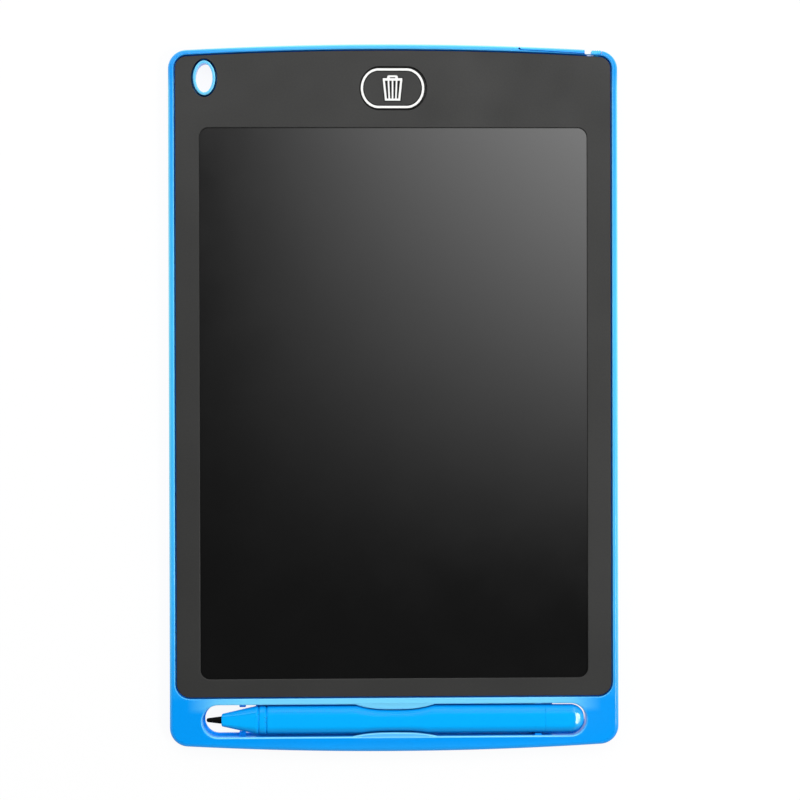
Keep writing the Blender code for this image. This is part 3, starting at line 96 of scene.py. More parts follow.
# Ribs, pegs and snap tabs
RIB_WIDTH = 0.0010
RIB_COLUMNS = 4
RIB_ROWS = 6
RIB_CORNER = 0.0012
BAY_STEP = 0.0002
WELL_TO_RIBS = 0.0005
TAB_LENGTH = 0.0060
TAB_THICKNESS = 0.0010
TAB_BEAD = 0.0004
TAB_BEAD_HEIGHT = 0.00045
TAB_TIP = 0.00012
SIDE_TAB_SHARES = (-0.36, -0.12, 0.12, 0.36)
TOP_TAB_SHARES = (-0.28, 0.28)
FOOT_TAB_SHARES = (-0.33, 0.0, 0.33)

# Erase key and its printed sign
KEY_Y = 0.098705
KEY_WIDTH = 0.0209
KEY_LENGTH = 0.01335
KEY_CORNER = 0.0060
PRINT_X = -0.00022
KEY_TOP = 0.00475
KEY_BOTTOM = 0.00355
KEY_FLANGE_TOP = 0.00385
KEY_FLANGE = 0.0008
KEY_EDGE = 0.0002
KEY_WALL = 0.0010
KEY_SKIN = 0.00045
KEY_GAP = 0.0003
KEY_STEM = 0.0015
STEM_BOTTOM = 0.00335
KEY_TRIM = 0.0001
PRINT_RAISE = 0.00003
GROUND_RAISE = 0.000012
PRINT_BORDER = 0.00032
RING_SET = 0.00034
RING_WIDTH = 0.00072
SIGN_STROKE = 0.00066
SIGN_LID = 0.0062
SIGN_LID_TOP = 0.0032
SIGN_LID_LOW = 0.0024
SIGN_HANDLE = 0.0034
SIGN_HANDLE_TOP = 0.0041
SIGN_HANDLE_CORNER = 0.0006
SIGN_SLOT = 0.0017
SIGN_SLOT_HEIGHT = 0.0003
SIGN_BODY = 0.0062
SIGN_FOOT = 0.0049
SIGN_BOTTOM = -0.00395
SIGN_RIB = 0.00052
SIGN_RIB_SPREAD = 0.00131
SIGN_RIB_FOOT_SPREAD = 0.00104

# Lanyard eye
EYE_X = -0.06015
EYE_Y = 0.1020
EYE_WIDTH = 0.0053
EYE_LENGTH = 0.0092
EYE_WALL = 0.0009
EYE_TOP = 0.0049
EYE_GAP = 0.0006
EYE_ROUND = 0.0004
EYE_MOUTH = 0.00032
EYE_DRAFT = 0.00045

# Lock switch in the head end's edge
LOCK_X = 0.06396
LOCK_REST = 0.06498
LOCK_TRAVEL = 0.0020
LOCK_Z = 0.00305
NOTCH_LENGTH = 0.0056
NOTCH_DEPTH = 0.00145
NOTCH_CORNER = 0.0004
STEM_WIDTH = 0.0013
STEM_HEIGHT = 0.0008
FOOT_WIDTH = 0.0021
FOOT_LENGTH = 0.0009
THUMB_RIDGE = 0.00025
THUMB_RIDGES = 4
RIDGE_STEPS = 8
KNOB_EDGE = 0.0002
SEAM_START = 0.0403
SEAM_END = 0.0612
SEAM_START_SET = 0.00095
SEAM_END_SET = 0.00130
SEAM_WIDTH = 0.00026
SEAM_LOW = 0.0043
SEAM_STEPS = 16
PIN_MARK_RADIUS = 0.00034
PIN_MARK_SET = 0.00070
PIN_MARK_LOW = 0.0030

# Battery bay and its door
CELL_X = -0.0261
WELL_RADIUS = 0.0103
WELL_WALL = 0.0010
WELL_OPENING_ANGLE = 0.75
WELL_TOP = 0.00255
PAD_MARGIN = 0.0010
DOOR_BOTTOM = 0.0001
DOOR_TOP = 0.00095
DOOR_GAP = 0.00015
DOOR_EDGE = 0.00012
DOOR_CORNER = 0.0015
DOOR_LUG_REACH = 0.0010
DOOR_LUG_WIDTH = 0.0030
DOOR_LUG_SPREAD = 0.0060
NAIL_LENGTH = 0.0070
NAIL_WIDTH = 0.0012
NAIL_DEPTH = 0.0004
NAIL_END_SHARE = 0.12
BOSS_RADIUS = 0.0023
BOSS_TOP = 0.00315
PILOT_RADIUS = 0.00105
PILOT_SKIN = 0.0005
SCREW_HEAD = 0.0018
SCREW_RADIUS = 0.0009
SCREW_SEAT = 0.00015

# Stylus slot
SLOT_Y = -0.10271
SLOT_HALF = 0.0051
SLOT_REACH = 0.0613
SLOT_EDGE = 0.0006
SLOT_SET = 0.00015
WINDOW_LEDGE = 0.0005
FINGER_LEFT = 0.0168
FINGER_RIGHT = 0.0106
LIP_LENGTH = 0.0268
UPPER_LIP_REACH = 0.0018
LOWER_LIP_REACH = 0.00105
LIP_FADE = 0.0001
LIP_ROOT = 0.0009
LIP_ROOT_DROP = 0.00003
LIP_TIP_DROP = 0.00012
LIP_DEPTH = 0.00105
LIP_EDGE = 0.00055
LIP_UNDER_EDGE = 0.0002
LIP_FULLNESS = 2.8
NUB_ROOT = 0.0007
NUB_LENGTH = 0.0028
NUB_TIP_LENGTH = 0.0019
NUB_GAP = 0.00018
NUB_LOW = 0.0002
LEFT_NUB_SHARE = 0.60
LEFT_NUB_TOP = 0.0020
RIGHT_NUB_SETBACK = 0.0154
RIGHT_NUB_REACH = 0.00035
RIGHT_NUB_TOP = 0.0042

# Stylus
PEN_Z = 0.0033
PEN_HALF = 0.004425
PEN_HALF_HEIGHT = 0.0022
PEN_ROUND_SHARE = 0.95
PEN_SIDE_SHARE = 0.64
PEN_LIP_GAP = 0.00025
TIP_X = -0.06010
NOSE_X = -0.05525
NOSE_LENGTH = 0.0109
NOSE_HALF = 0.00195
NOSE_HALF_HEIGHT = 0.0017
NOSE_ROUND = 0.00035
COLLAR_X = -0.04435
GROOVE_X = -0.04345
GROOVE_WIDTH = 0.0010
GROOVE_DEPTH = 0.00042
BARREL_X = -0.04095
CAP_X = 0.0481
TAIL_X = 0.0606
CAP_ROUND = 0.0044
CAP_END_WIDTH_SHARE = 0.12
CAP_FACET_LENGTH = 0.0029
CAP_FACET_SLOPE = 0.28
CAP_EDGE_LENGTH = 0.0014
CAP_EDGE_DROP = 0.0008
SPIGOT_HALF = 0.0022
SPIGOT_HALF_HEIGHT = 0.0010
SPIGOT_LENGTH = 0.0050
BORE_GAP = 0.0001
NIB_POINT = 0.00135
NIB_END_SHARE = 0.125
NIB_BASE = 0.00235
NIB_SHANK = 0.0020
NIB_SHANK_LENGTH = 0.0080

# Light: how bright each part of the surroundings is, and where it begins and ends
WALL_LIGHT = 1.25
WALL_SWAY = 0.35
CEILING_LIGHT = 0.03
WALL_TOP = 0.30
CEILING_FOOT = 0.90
GLOW_LIGHT = 2.67
GLOW_LEFT = -0.107
GLOW_RIGHT = 0.19
GLOW_LEFT_SHARE = 0.045
GLOW_LOW = -0.13
GLOW_HIGH = 0.25
GLOW_GAIN = 1.3
GLOW_CURVE = 1.42
GLOW_FOOT = 0.86
GLOW_TOP = 0.95

# Each lamp: its name, compass angle, height angle, width, height and power, all at one distance
LAMP_DISTANCE = 1.0
LAMPS = (
    ("head_softbox", 92, 54, 1.20, 0.50, 5.6),
    ("glint_softbox", 342, 49.5, 0.30, 0.16, 3.4),
)

# Floor and backdrop
FLOOR_REACH = 6
FLOOR_CORNERS = 24
FLOOR_DROP = 0.00005
FLOOR_TONE = (0.95, 0.95, 0.95, 1)
FLOOR_GLOW = 0.92
BACKDROP_TONE = (1, 1, 1, 1)

# Camera straight above the screen, turned by the small angles that the photograph shows
CAMERA_PLACE = (-0.00743, 0.001187, 0.500)
CAMERA_TURN = (-0.00364, -0.01885, -0.00255)
CAMERA_LENS = 69.90
SENSOR = 36
CLIP_START = 0.01

# Painted highlights: where the blue plastic's colour is made paler to stand in for the light on its rims,
# rails, lips, eye and rounded edges, each as stops of a place or a slope and a share
PAINTED_HIGHLIGHT_BLUE = (146, 238, 255)
EYE_SHARE = 0.45
OPENING_SLOPE_STOPS = ((0.10, 0.0), (0.45, 0.72), (0.88, 0.72), (0.965, 0.36), (0.995, 0.0))
RIM_SLOPE_STOPS = ((0.10, 0.0), (0.35, 0.75), (0.70, 0.75), (0.83, 0.38), (0.94, 0.06), (0.99, 0.0))
RIM_SLOPE_REACH_STOPS = (
    (-0.1080, 0.0),
    (-0.0960, 0.4),
    (-0.0600, 0.8),
    (0.0300, 1.0),
    (0.0980, 1.0),
    (0.1040, 0.3),
    (0.1107, 0.3),
    (0.1119, 1.0),
)
# Painted sheen: the raised rims' blue made paler by place along the case, standing in for the light that
# they reflect
PAINTED_RIM_SHEEN_BLUE = (120, 248, 255)
RIM_SHEEN_STOPS = (
    (-0.1115, 0.05),
    (-0.1095, 0.0),
    (-0.0962, 0.0),
    (-0.0948, 0.04),
    (-0.0640, 0.21),
    (0.0000, 0.32),
    (0.0320, 0.32),
    (0.0635, 0.20),
    (0.0900, 0.06),
    (0.1030, 0.0),
    (0.1106, 0.0),
    (0.1114, 0.25),
)
RAIL_STOPS = ((-0.1000, 0.0), (-0.0992, 0.62), (-0.0962, 0.62), (-0.0950, 0.0))
LOWER_LIP_STOPS = ((-0.1085, 0.0), (-0.1080, 0.3), (-0.1062, 0.3), (-0.1060, 0.0))
LOWER_LIP_SIDE_STOPS = ((0.0090, 1.0), (0.0140, 0.0))
SLOT_SIDE_STOPS = ((0.0480, 1.0), (0.0570, 0.75), (0.0613, 0.35), (0.0660, 0.0))
FOOT_ZONE_STOPS = ((-0.1092, 0.0), (-0.1087, 1.0), (-0.0960, 1.0), (-0.0950, 0.0))
EYE_ZONE_STOPS = ((0.0945, 0.0), (0.0960, 1.0), (0.1080, 1.0), (0.1085, 0.0))
EYE_SIDE_STOPS = ((0.0640, 1.0), (0.0655, 0.0))
# Heights over which the painted highlights and sheen fade in towards the case's front
HIGHLIGHT_RAISE_LOW = 0.0040
HIGHLIGHT_RAISE_HIGH = 0.0046

# The stylus: painted shade on its sides, a deeper blue that stands in for shade and is deepest on its
# lower side, and how strongly it mirrors its surroundings at its tail
STYLUS_SHADE_BLUE = (2, 118, 196)
STYLUS_SHADE_STOPS = ((-0.85, 0.9), (-0.10, 0.0), (0.06, 0.0), (0.35, 0.32), (1.0, 0.32))
TAIL_SHINE_STOPS = ((0.0568, 0.12), (0.0574, 0.55))

# Surface detail: the scale and fineness of each noise, and the part of its range that counts
DRIFT_SCALE = 30
DRIFT_DETAIL = 2
DRIFT_RANGE = (0.3, 0.7)
MOTTLE_SCALE = 1700
MOTTLE_SHARE = 0.6
SHEEN_SCALE = 60
SHEEN_DETAIL = 4
SHEEN_RANGE = (0.35, 0.65)
GRAIN_DETAIL = 3
GRAIN_HEIGHT = 0.00003

# Each finish: its colour on screen, its roughness where smooth and where dull, how deep its tone drifts,
# and the scale, strength and softness of its grain
FINISHES = {
    "glossy_blue_plastic": ((1, 154, 248), 0.18, 0.26, 0.05, 1500, 0.05, 0.3),
    "slider_blue_plastic": ((66, 198, 244), 0.22, 0.32, 0.05, 1500, 0.05, 0.3),
    "stylus_blue_plastic": ((8, 173, 253), 0.10, 0.14, 0.03, 1800, 0.03, 0.3),
    "dark_grained_plastic": ((51, 51, 50), 0.42, 0.52, 0.24, 3200, 0.55, 0.6),
    "dark_display_film": ((15, 15, 15), 0.10, 0.13, 0.04, 900, 0.01, 0.2),
    "white_ink": ((240, 240, 238), 0.5, 0.6, 0.02, 2500, 0.05, 0.5),
    "dark_ground_ink": ((20, 20, 20), 0.5, 0.6, 0.05, 2500, 0.05, 0.5),
    "nib_plastic": ((5, 6, 5), 0.45, 0.6, 0.05, 3000, 0.1, 0.5),
    "plated_steel": ((188, 190, 193), 0.22, 0.34, 0.08, 900, 0.08, 0.4),
    "foam_tape": ((222, 222, 214), 0.7, 0.85, 0.05, 3500, 0.4, 0.7),
    "liquid_crystal_sheet": ((24, 34, 30), 0.22, 0.3, 0.08, 700, 0.02, 0.4),
    "stiff_plate": ((206, 206, 201), 0.5, 0.65, 0.05, 2200, 0.2, 0.6),
    "ribbon_film": ((186, 112, 32), 0.3, 0.42, 0.10, 1200, 0.05, 0.4),
    "board_laminate": ((22, 88, 46), 0.35, 0.5, 0.14, 1400, 0.2, 0.6),
    "component_black": ((28, 28, 30), 0.4, 0.6, 0.08, 3000, 0.3, 0.6),
    "capacitor_ceramic": ((156, 120, 80), 0.45, 0.6, 0.10, 3000, 0.2, 0.6),
}

# The value of a finish's surface that isn't the usual one
PLAIN_VALUES = {
    "glossy_blue_plastic": ("Specular IOR Level", 0.3),
    "slider_blue_plastic": ("Specular IOR Level", 0.3),
    "dark_grained_plastic": ("Specular IOR Level", 0.3),
    "dark_display_film": ("Specular IOR Level", 1.0),
    "dark_ground_ink": ("Specular IOR Level", 0.15),
    "nib_plastic": ("Specular IOR Level", 0.06),
    "plated_steel": ("Metallic", 1.0),
}

# The finish of each node that is carried over from the solids
NODE_FINISHES = {
    "writing_film": "dark_display_film",
    "panel_tape": "foam_tape",
    "lcd_panel": "liquid_crystal_sheet",
    "support_plate": "stiff_plate",
    "display_ribbon": "ribbon_film",
    "circuit_board": "board_laminate",
    "driver_chip": "component_black",
    "boost_inductor": "component_black",
    "erase_switch": "component_black",
    "switch_plunger": "component_black",
    "capacitor_upper": "capacitor_ceramic",
    "capacitor_lower": "capacitor_ceramic",
    "lock_switch": "plated_steel",
    "coin_cell": "plated_steel",
    "cell_contact_negative": "plated_steel",
    "cell_contact_positive": "plated_steel",
    "door_screw": "plated_steel",
}

# How finely curves are cut
CORNER_STEPS = 20
BOW_STEPS = 40
EDGE_STEPS = 6
ROUND_STEPS = 72
SLOT_STEPS = 32
LIP_STEPS = 56
PEN_STEPS = 9
SMOOTH_ANGLE = math.radians(32)


# Outlines, as lists of points that run anticlockwise

def arc(x, y, radius, start, end, steps):
    """Points along an arc, both of its ends among them."""
    angles = [start + (end - start) * step / steps for step in range(steps + 1)]
    return [(x + radius * math.cos(angle), y + radius * math.sin(angle)) for angle in angles]


def ellipse(x, y, half_width, half_length):
    """A full oval outline."""
    angles = [2 * math.pi * step / ROUND_STEPS for step in range(ROUND_STEPS)]
    return [(x + half_width * math.cos(angle), y + half_length * math.sin(angle)) for angle in angles]


def rounded_rectangle(x, y, width, length, radius, steps=CORNER_STEPS):
    """A rectangle round its middle with rounded corners."""
    quarter = math.pi / 2
    across = width / 2 - radius
    along = length / 2 - radius
    corners = ((across, -along, -1), (across, along, 0), (-across, along, 1), (-across, -along, 2))
    points = []
    for dx, dy, turn in corners:
        points += arc(x + dx, y + dy, radius, turn * quarter, (turn + 1) * quarter, steps)
    return points


def stadium(x, y, reach, half):
    """A slot with round ends, round its middle."""
    quarter = math.pi / 2
    right = arc(x + reach - half, y, half, -quarter, quarter, SLOT_STEPS)
    left = arc(x - reach + half, y, half, quarter, 3 * quarter, SLOT_STEPS)
    return right + left


def half_stadium(round_end, flat_end, half):
    """A window in the slot's floor, with a round end at round_end and a straight one at flat_end."""
    side = math.copysign(1, round_end - flat_end)
    start = -side * math.pi / 2
    points = arc(round_end - side * half, SLOT_Y, half, start, start + math.pi, SLOT_STEPS)
    return points + [(flat_end, SLOT_Y + side * half), (flat_end, SLOT_Y - side * half)]


def bow_top(x, inset=0):
    """How far up the bowed head end reaches at a place across the case."""
    return BOW_CENTRE + math.sqrt((BOW_RADIUS - inset) ** 2 - x ** 2)


def tray_top(x, inset=0):
    """How far up the space inside the rim reaches at a place across the case."""
    return bow_top(x, RIM_WIDTH + inset) + HEAD_RIM_TRIM


def head_points(inset):
    """The head end from right to left: a corner, the shallow bow and the other corner."""
    corner_x = HALF_WIDTH - CASE_CORNER
    corner_y = BOW_CENTRE + math.sqrt((BOW_RADIUS - CASE_CORNER) ** 2 - corner_x ** 2)
    meet = math.atan2(corner_y - BOW_CENTRE, corner_x)
    radius = CASE_CORNER - inset
    right = arc(corner_x, corner_y, radius, 0, meet, CORNER_STEPS)
    bow = arc(0, BOW_CENTRE, BOW_RADIUS - inset, meet, math.pi - meet, BOW_STEPS)
    left = arc(-corner_x, corner_y, radius, math.pi - meet, math.pi, CORNER_STEPS)
    return right + bow[1:-1] + left


def case_outline(inset=0):
    """The case, bowed at its head and at its foot."""
    head = head_points(inset)
    return head + [(-x, -y) for x, y in head]


def tray_outline(inset=0, foot=POCKET_FOOT, corner=FOOT_CORNER):
    """The space inside the rim, which is a little thinner across the head: a straight foot and sides."""
    quarter = math.pi / 2
    side = HALF_WIDTH - RIM_WIDTH - corner
    radius = corner - inset
    left = arc(-side, foot + corner, radius, 2 * quarter, 3 * quarter, CORNER_STEPS)
    right = arc(side, foot + corner, radius, -quarter, 0, CORNER_STEPS)
    head = [(x, y + HEAD_RIM_TRIM) for x, y in head_points(RIM_WIDTH + inset)]
    return head + left + right


def window_outline(margin=0):
    """The display window, or a rectangle that stands out past it by a margin."""
    width = WINDOW_WIDTH + 2 * margin
    length = WINDOW_LENGTH + 2 * margin
    return rounded_rectangle(0, WINDOW_Y, width, length, WINDOW_CORNER + margin)


def key_outline(grow=0):
    """The erase key seen from the front, grown all round: straight above and below, with oval ends."""
    across = KEY_WIDTH / 2 - KEY_CORNER
    wide = KEY_CORNER + grow
    tall = KEY_LENGTH / 2 + grow
    end = arc(0, 0, 1, -math.pi / 2, math.pi / 2, 2 * CORNER_STEPS)
    right = [(across + wide * x, KEY_Y + tall * y) for x, y in end]
    left = [(-across - wide * x, KEY_Y - tall * y) for x, y in end]
    return right + left


def eye_outline(grow=0):
    """The lanyard eye's hole, grown all round."""
    return ellipse(EYE_X, EYE_Y, EYE_WIDTH / 2 + grow, EYE_LENGTH / 2 + grow)


def cell_y():
    """The place of the coin cell along the case, read from its node."""
    low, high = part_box("coin_cell")
    return (low.y + high.y) / 2


def bay_foot():
    """Where the electronics bay ends and the ribs under the display begin."""
    return cell_y() - WELL_RADIUS - WELL_WALL - WELL_TO_RIBS


def boss_x():
    """The place of the door screw across the case, read from its node."""
    low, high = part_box("door_screw")
    return (low.x + high.x) / 2


def door_outline(grow=0):
    """The battery door: rounded corners and two locating lugs on its right side."""
    low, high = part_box("battery_door")
    right = high.x - DOOR_LUG_REACH
    width = right - low.x + 2 * grow
    length = high.y - low.y + 2 * grow
    middle = (low.x + right) / 2
    body = rounded_rectangle(middle, cell_y(), width, length, DOOR_CORNER + grow, EDGE_STEPS)
    steps = EDGE_STEPS + 1
    lugs = []
    for side in (-1, 1):
        near = cell_y() + side * DOOR_LUG_SPREAD - DOOR_LUG_WIDTH / 2 - grow
        far = near + DOOR_LUG_WIDTH + 2 * grow
        out = right + grow + DOOR_LUG_REACH
        lugs += [(right + grow, near), (out, near), (out, far), (right + grow, far)]
    return body[:steps] + lugs + body[steps:]


def shrink(outline, inset):
    """An outline drawn in towards its middle by about an inset."""
    middle_x = sum(x for x, _ in outline) / len(outline)
    middle_y = sum(y for _, y in outline) / len(outline)
    reach = max(math.dist((x, y), (middle_x, middle_y)) for x, y in outline)
    scale = 1 - inset / reach
    return [(middle_x + (x - middle_x) * scale, middle_y + (y - middle_y) * scale) for x, y in outline]


# Rounded edges

def quarter_turn(steps=EDGE_STEPS):
    """The cosine and the sine of each angle through a quarter of a circle."""
    angles = [math.pi / 2 * step / steps for step in range(steps + 1)]
    return [(math.cos(angle), math.sin(angle)) for angle in angles]


def rounded_edge(top, drop, width):
    """Heights and insets over a rounded edge, from its side up to its top."""
    return [(top - drop * (1 - sine), width * (1 - cosine)) for cosine, sine in quarter_turn()]


def rounded_side(low, high, drop, width=None, foot=0):
    """Heights and insets up the side of a slab with a rounded top edge, and a rounded foot where asked."""
    levels = [(low, 0)]
    if foot:
        levels = [(low + foot * (1 - cosine), foot * (1 - sine)) for cosine, sine in quarter_turn()]
    return levels + rounded_edge(high, drop, drop if width is None else width)


def rounded_mouth(low, top, radius):
    """Heights and outsets of a cutter that leaves a rounded edge at the top of its hole."""
    return [(low, 0)] + rounded_edge(top, radius, radius) + [(top + OVERRUN, radius)]


# Solids, each added to a mesh in the making

def add_skin(mesh, loops):
    """Faces between each ring of a row and the next one, all of as many points."""
    for low, high in zip(loops, loops[1:]):
        for i in range(len(low)):
            j = (i + 1) % len(low)
            mesh.faces.new((low[i], low[j], high[j], high[i]))


def add_loft(mesh, rings):
    """Skin a row of rings, and close both ends."""
    loops = [[mesh.verts.new(point) for point in ring] for ring in rings]
    mesh.faces.new(loops[0][::-1])
    mesh.faces.new(loops[-1])
    add_skin(mesh, loops)


def add_prism(mesh, outline, low, high):
    """An outline extruded from one height to another."""
    add_loft(mesh, [[(x, y, z) for x, y in outline] for z in (low, high)])


def add_band(mesh, outer, inner, low, high):
    """The band between two outlines of as many points, from one height to another."""
    corners = ((outer, low), (outer, high), (inner, high), (inner, low))
    loops = [[mesh.verts.new((x, y, z)) for x, y in outline] for outline, z in corners]
    add_skin(mesh, loops + loops[:1])


def add_stack(mesh, outline, levels):
    """A stack of rings of one outline, each at a height and drawn in, or let out, by an amount."""
    add_loft(mesh, [[(x, y, z) for x, y in outline(amount)] for z, amount in levels])


def add_turned(mesh, x, y, profile):
    """A round piece with an upright axis, from the (radius, height) points of its side."""
    add_loft(mesh, [[(u, v, z) for u, v in ellipse(x, y, radius, radius)] for radius, z in profile])


def add_box(mesh, x, y, z):
    """A box between two places along each axis."""
    add_prism(mesh, [(x[0], y[0]), (x[1], y[0]), (x[1], y[1]), (x[0], y[1])], z[0], z[1])


def add_against_wall(mesh, place, profile, width):
    """A profile of distances out from a wall and heights, extruded along that wall."""
    x, y, angle = place
    outward = Vector((math.cos(angle), math.sin(angle)))
    rings = []
    for offset in (width / 2, -width / 2):
        along = Vector((-math.sin(angle), math.cos(angle))) * offset
        rings.append([(*(Vector((x, y)) + along + outward * out), z) for out, z in profile])
    add_loft(mesh, rings)


# Pieces and the operations between solids

def solid(name, *steps):
    """An object from the solids that the steps add to its mesh."""
    mesh = bmesh.new()
    for add, *details in steps:
        add(mesh, *details)
    bmesh.ops.recalc_face_normals(mesh, faces=mesh.faces)
    data = bpy.data.meshes.new(name)
    mesh.to_mesh(data)
    mesh.free()
    piece = bpy.data.objects.new(name, data)
    bpy.context.scene.collection.objects.link(piece)
    return piece


def operate(piece, operation, steps):
    """Cut or join a piece with a helper solid, and bake the result into its mesh."""
    helper = solid(f"{piece.name}_helper", *steps)
    change = piece.modifiers.new("change", "BOOLEAN")
    change.operation = operation
    change.solver = "EXACT"
    change.object = helper
    bpy.context.view_layer.update()
    changed = piece.evaluated_get(bpy.context.evaluated_depsgraph_get())
    data = bpy.data.meshes.new_from_object(changed)
    piece.modifiers.clear()
    old = piece.data
    piece.data = data
    bpy.data.meshes.remove(old)
    bpy.data.objects.remove(helper, do_unlink=True)


def cut(piece, *steps):
    """Take solids out of a piece."""
    operate(piece, "DIFFERENCE", steps)


def join(piece, *steps):
    """Fuse solids onto a piece."""
    operate(piece, "UNION", steps)


def dress(piece, body, finish, slot, *nodes):
    """Shade a finished piece, give it its material, and hang it on its body for its nodes."""
    piece.data.materials.clear()
    piece.data.materials.append(finish)
    piece.data.shade_smooth()
    piece.data.set_sharp_from_angle(angle=SMOOTH_ANGLE)
    even = piece.modifiers.new("even_normals", "WEIGHTED_NORMAL")
    even.keep_sharp = True
    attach(piece, body)
    if nodes:
        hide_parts(*nodes)
    return piece


# Rear shell

def snap_places():
    """Each frame tab: its place on the cavity wall and the way that it faces."""
    length = HALF_LENGTH - CAVITY_FOOT
    places = []
    for share in SIDE_TAB_SHARES:
        for side in (-1, 1):
            places.append((side * CAVITY_HALF, WINDOW_Y + share * length, 0 if side > 0 else math.pi))
    for share in TOP_TAB_SHARES:
        x = share * 2 * HALF_WIDTH
        places.append((x, tray_top(x, LEDGE_WIDTH), math.pi / 2))
    for share in FOOT_TAB_SHARES:
        places.append((share * 2 * HALF_WIDTH, CAVITY_FOOT, -math.pi / 2))
    return places


def snap_groove(place):
    """The groove in the cavity wall that a tab's bead springs into."""
    low = RIB_TOP + TAB_TIP
    high = low + TAB_BEAD_HEIGHT + 2 * TAB_TIP
    profile = [(-OVERRUN, low), (TAB_BEAD, low), (TAB_BEAD, high), (-OVERRUN, high)]
    return (add_against_wall, place, profile, TAB_LENGTH + 2 * SLIDE_GAP)


def rib_cells():
    """The pockets between the ribs that carry the display plate."""
    pitch_x = (2 * CAVITY_HALF - RIB_WIDTH) / RIB_COLUMNS
    pitch_y = (bay_foot() - CAVITY_FOOT - RIB_WIDTH) / RIB_ROWS
    width = pitch_x - RIB_WIDTH
    length = pitch_y - RIB_WIDTH
    cells = []
    for column in range(RIB_COLUMNS):
        for row in range(RIB_ROWS):
            x = RIB_WIDTH - CAVITY_HALF + pitch_x * column + width / 2
            y = CAVITY_FOOT + RIB_WIDTH + pitch_y * row + length / 2
            outline = rounded_rectangle(x, y, width, length, RIB_CORNER, EDGE_STEPS)
            cells.append((add_prism, outline, FLOOR, RIB_TOP + OVERRUN))
    return cells


def lip_reach(x, side):
    """How far the snap lip on one side stands out over the slot at a place along it."""
    share = min(abs(x) / (LIP_LENGTH / 2), 1)
    full = UPPER_LIP_REACH if side > 0 else LOWER_LIP_REACH
    return (full + LIP_FADE) * (1 - share ** LIP_FULLNESS) - LIP_FADE


def waist_places():
    """Places along the snap lips, and along the stylus' waist between them."""
    return [LIP_LENGTH * (step / LIP_STEPS - 1 / 2) for step in range(LIP_STEPS + 1)]


def add_lip(mesh, side):
    """A snap lip: its top runs out from the rail to a well rounded edge over the stylus."""
    rings = []
    low = CASE_TOP - LIP_DEPTH
    high = CASE_TOP - LIP_TIP_DROP
    for x in waist_places():
        root = SLOT_Y + side * (SLOT_HALF + LIP_ROOT)
        tip = SLOT_Y + side * (SLOT_HALF - lip_reach(x, side))
        ring = [(x, root, low), (x, tip + side * LIP_UNDER_EDGE, low), (x, tip, low + LIP_UNDER_EDGE)]
        for cosine, sine in quarter_turn(EDGE_STEPS - 1):
            ring.append((x, tip + side * LIP_EDGE * (1 - cosine), high - LIP_EDGE * (1 - sine)))
        ring.append((x, root, CASE_TOP - LIP_ROOT_DROP))
        rings.append(ring)
    add_loft(mesh, rings)


def add_nub(mesh, x, side, reach, low, high):
    """A small rest on the slot's wall, narrower at its tip."""
    root = SLOT_Y + side * (SLOT_HALF + NUB_ROOT)
    tip = SLOT_Y + side * (SLOT_HALF - reach)
    outline = [
        (x - NUB_LENGTH / 2, root),
        (x - NUB_TIP_LENGTH / 2, tip),
        (x + NUB_TIP_LENGTH / 2, tip),
        (x + NUB_LENGTH / 2, root),
    ]
    add_prism(mesh, outline, low, high)


def stylus_slot(shell):
    """The slot across the foot, its finger windows, its snap lips and its rests."""

    def outline(outset):
        return stadium(0, SLOT_Y - SLOT_SET, SLOT_REACH + outset, SLOT_HALF + outset)

    cut(shell, (add_stack, outline, rounded_mouth(FLOOR, CASE_TOP, SLOT_EDGE)))
    half = SLOT_HALF - WINDOW_LEDGE
    left = half_stadium(WINDOW_LEDGE - SLOT_REACH, FINGER_LEFT - SLOT_REACH, half)
    right = half_stadium(SLOT_REACH, SLOT_REACH - FINGER_RIGHT, half)
    cut(shell, *[(add_prism, window, -OVERRUN, FLOOR + OVERRUN) for window in (left, right)])
    join(shell, (add_lip, 1), (add_lip, -1))
    nubs = []
    left_x = NOSE_X + LEFT_NUB_SHARE * NOSE_LENGTH
    left_reach = SLOT_HALF - NUB_GAP - nose_half_width(left_x + NUB_TIP_LENGTH / 2)
    right_x = SLOT_REACH - RIGHT_NUB_SETBACK
    for side in (-1, 1):
        nubs.append((add_nub, left_x, side, left_reach, NUB_LOW, LEFT_NUB_TOP))
        nubs.append((add_nub, right_x, side, RIGHT_NUB_REACH, FLOOR - JOIN_DEPTH, RIGHT_NUB_TOP))
    join(shell, *nubs)


def lanyard_eye(shell):
    """An oval column from the floor to the front, rounded on top, with a hole that widens downwards."""
    levels = rounded_side(FLOOR - JOIN_DEPTH, EYE_TOP, EYE_ROUND)
    join(shell, (add_stack, lambda inset: eye_outline(EYE_WALL - inset), levels))
    mouth = rounded_mouth(EYE_MOUTH, EYE_TOP, EYE_MOUTH)[1:]
    hole = [(-OVERRUN, EYE_MOUTH + EYE_DRAFT), (0, EYE_MOUTH + EYE_DRAFT)]
    for cosine, sine in quarter_turn()[1:]:
        hole.append((EYE_MOUTH * (1 - cosine), EYE_DRAFT + EYE_MOUTH * (1 - sine)))
    cut(shell, (add_stack, eye_outline, hole + mouth))


def lock_recess(shell):
    """The notch in the head end's edge, and the slit behind it that the lever's stem runs in."""
    edge = bow_top(LOCK_X)
    notch = rounded_rectangle(LOCK_X, edge, NOTCH_LENGTH, 2 * NOTCH_DEPTH, NOTCH_CORNER, EDGE_STEPS)
    cut(shell, (add_prism, notch, -OVERRUN, CASE_TOP + OVERRUN))
    half = STEM_WIDTH / 2 + SLIDE_GAP
    half_height = STEM_HEIGHT / 2 + SLIDE_GAP
    wall = tray_top(LOCK_X, LEDGE_WIDTH)
    x = (LOCK_REST - LOCK_TRAVEL - half, LOCK_REST + half)
    y = (wall - OVERRUN, edge - NOTCH_DEPTH / 2)
    cut(shell, (add_box, x, y, (LOCK_Z - half_height, LOCK_Z + half_height)))


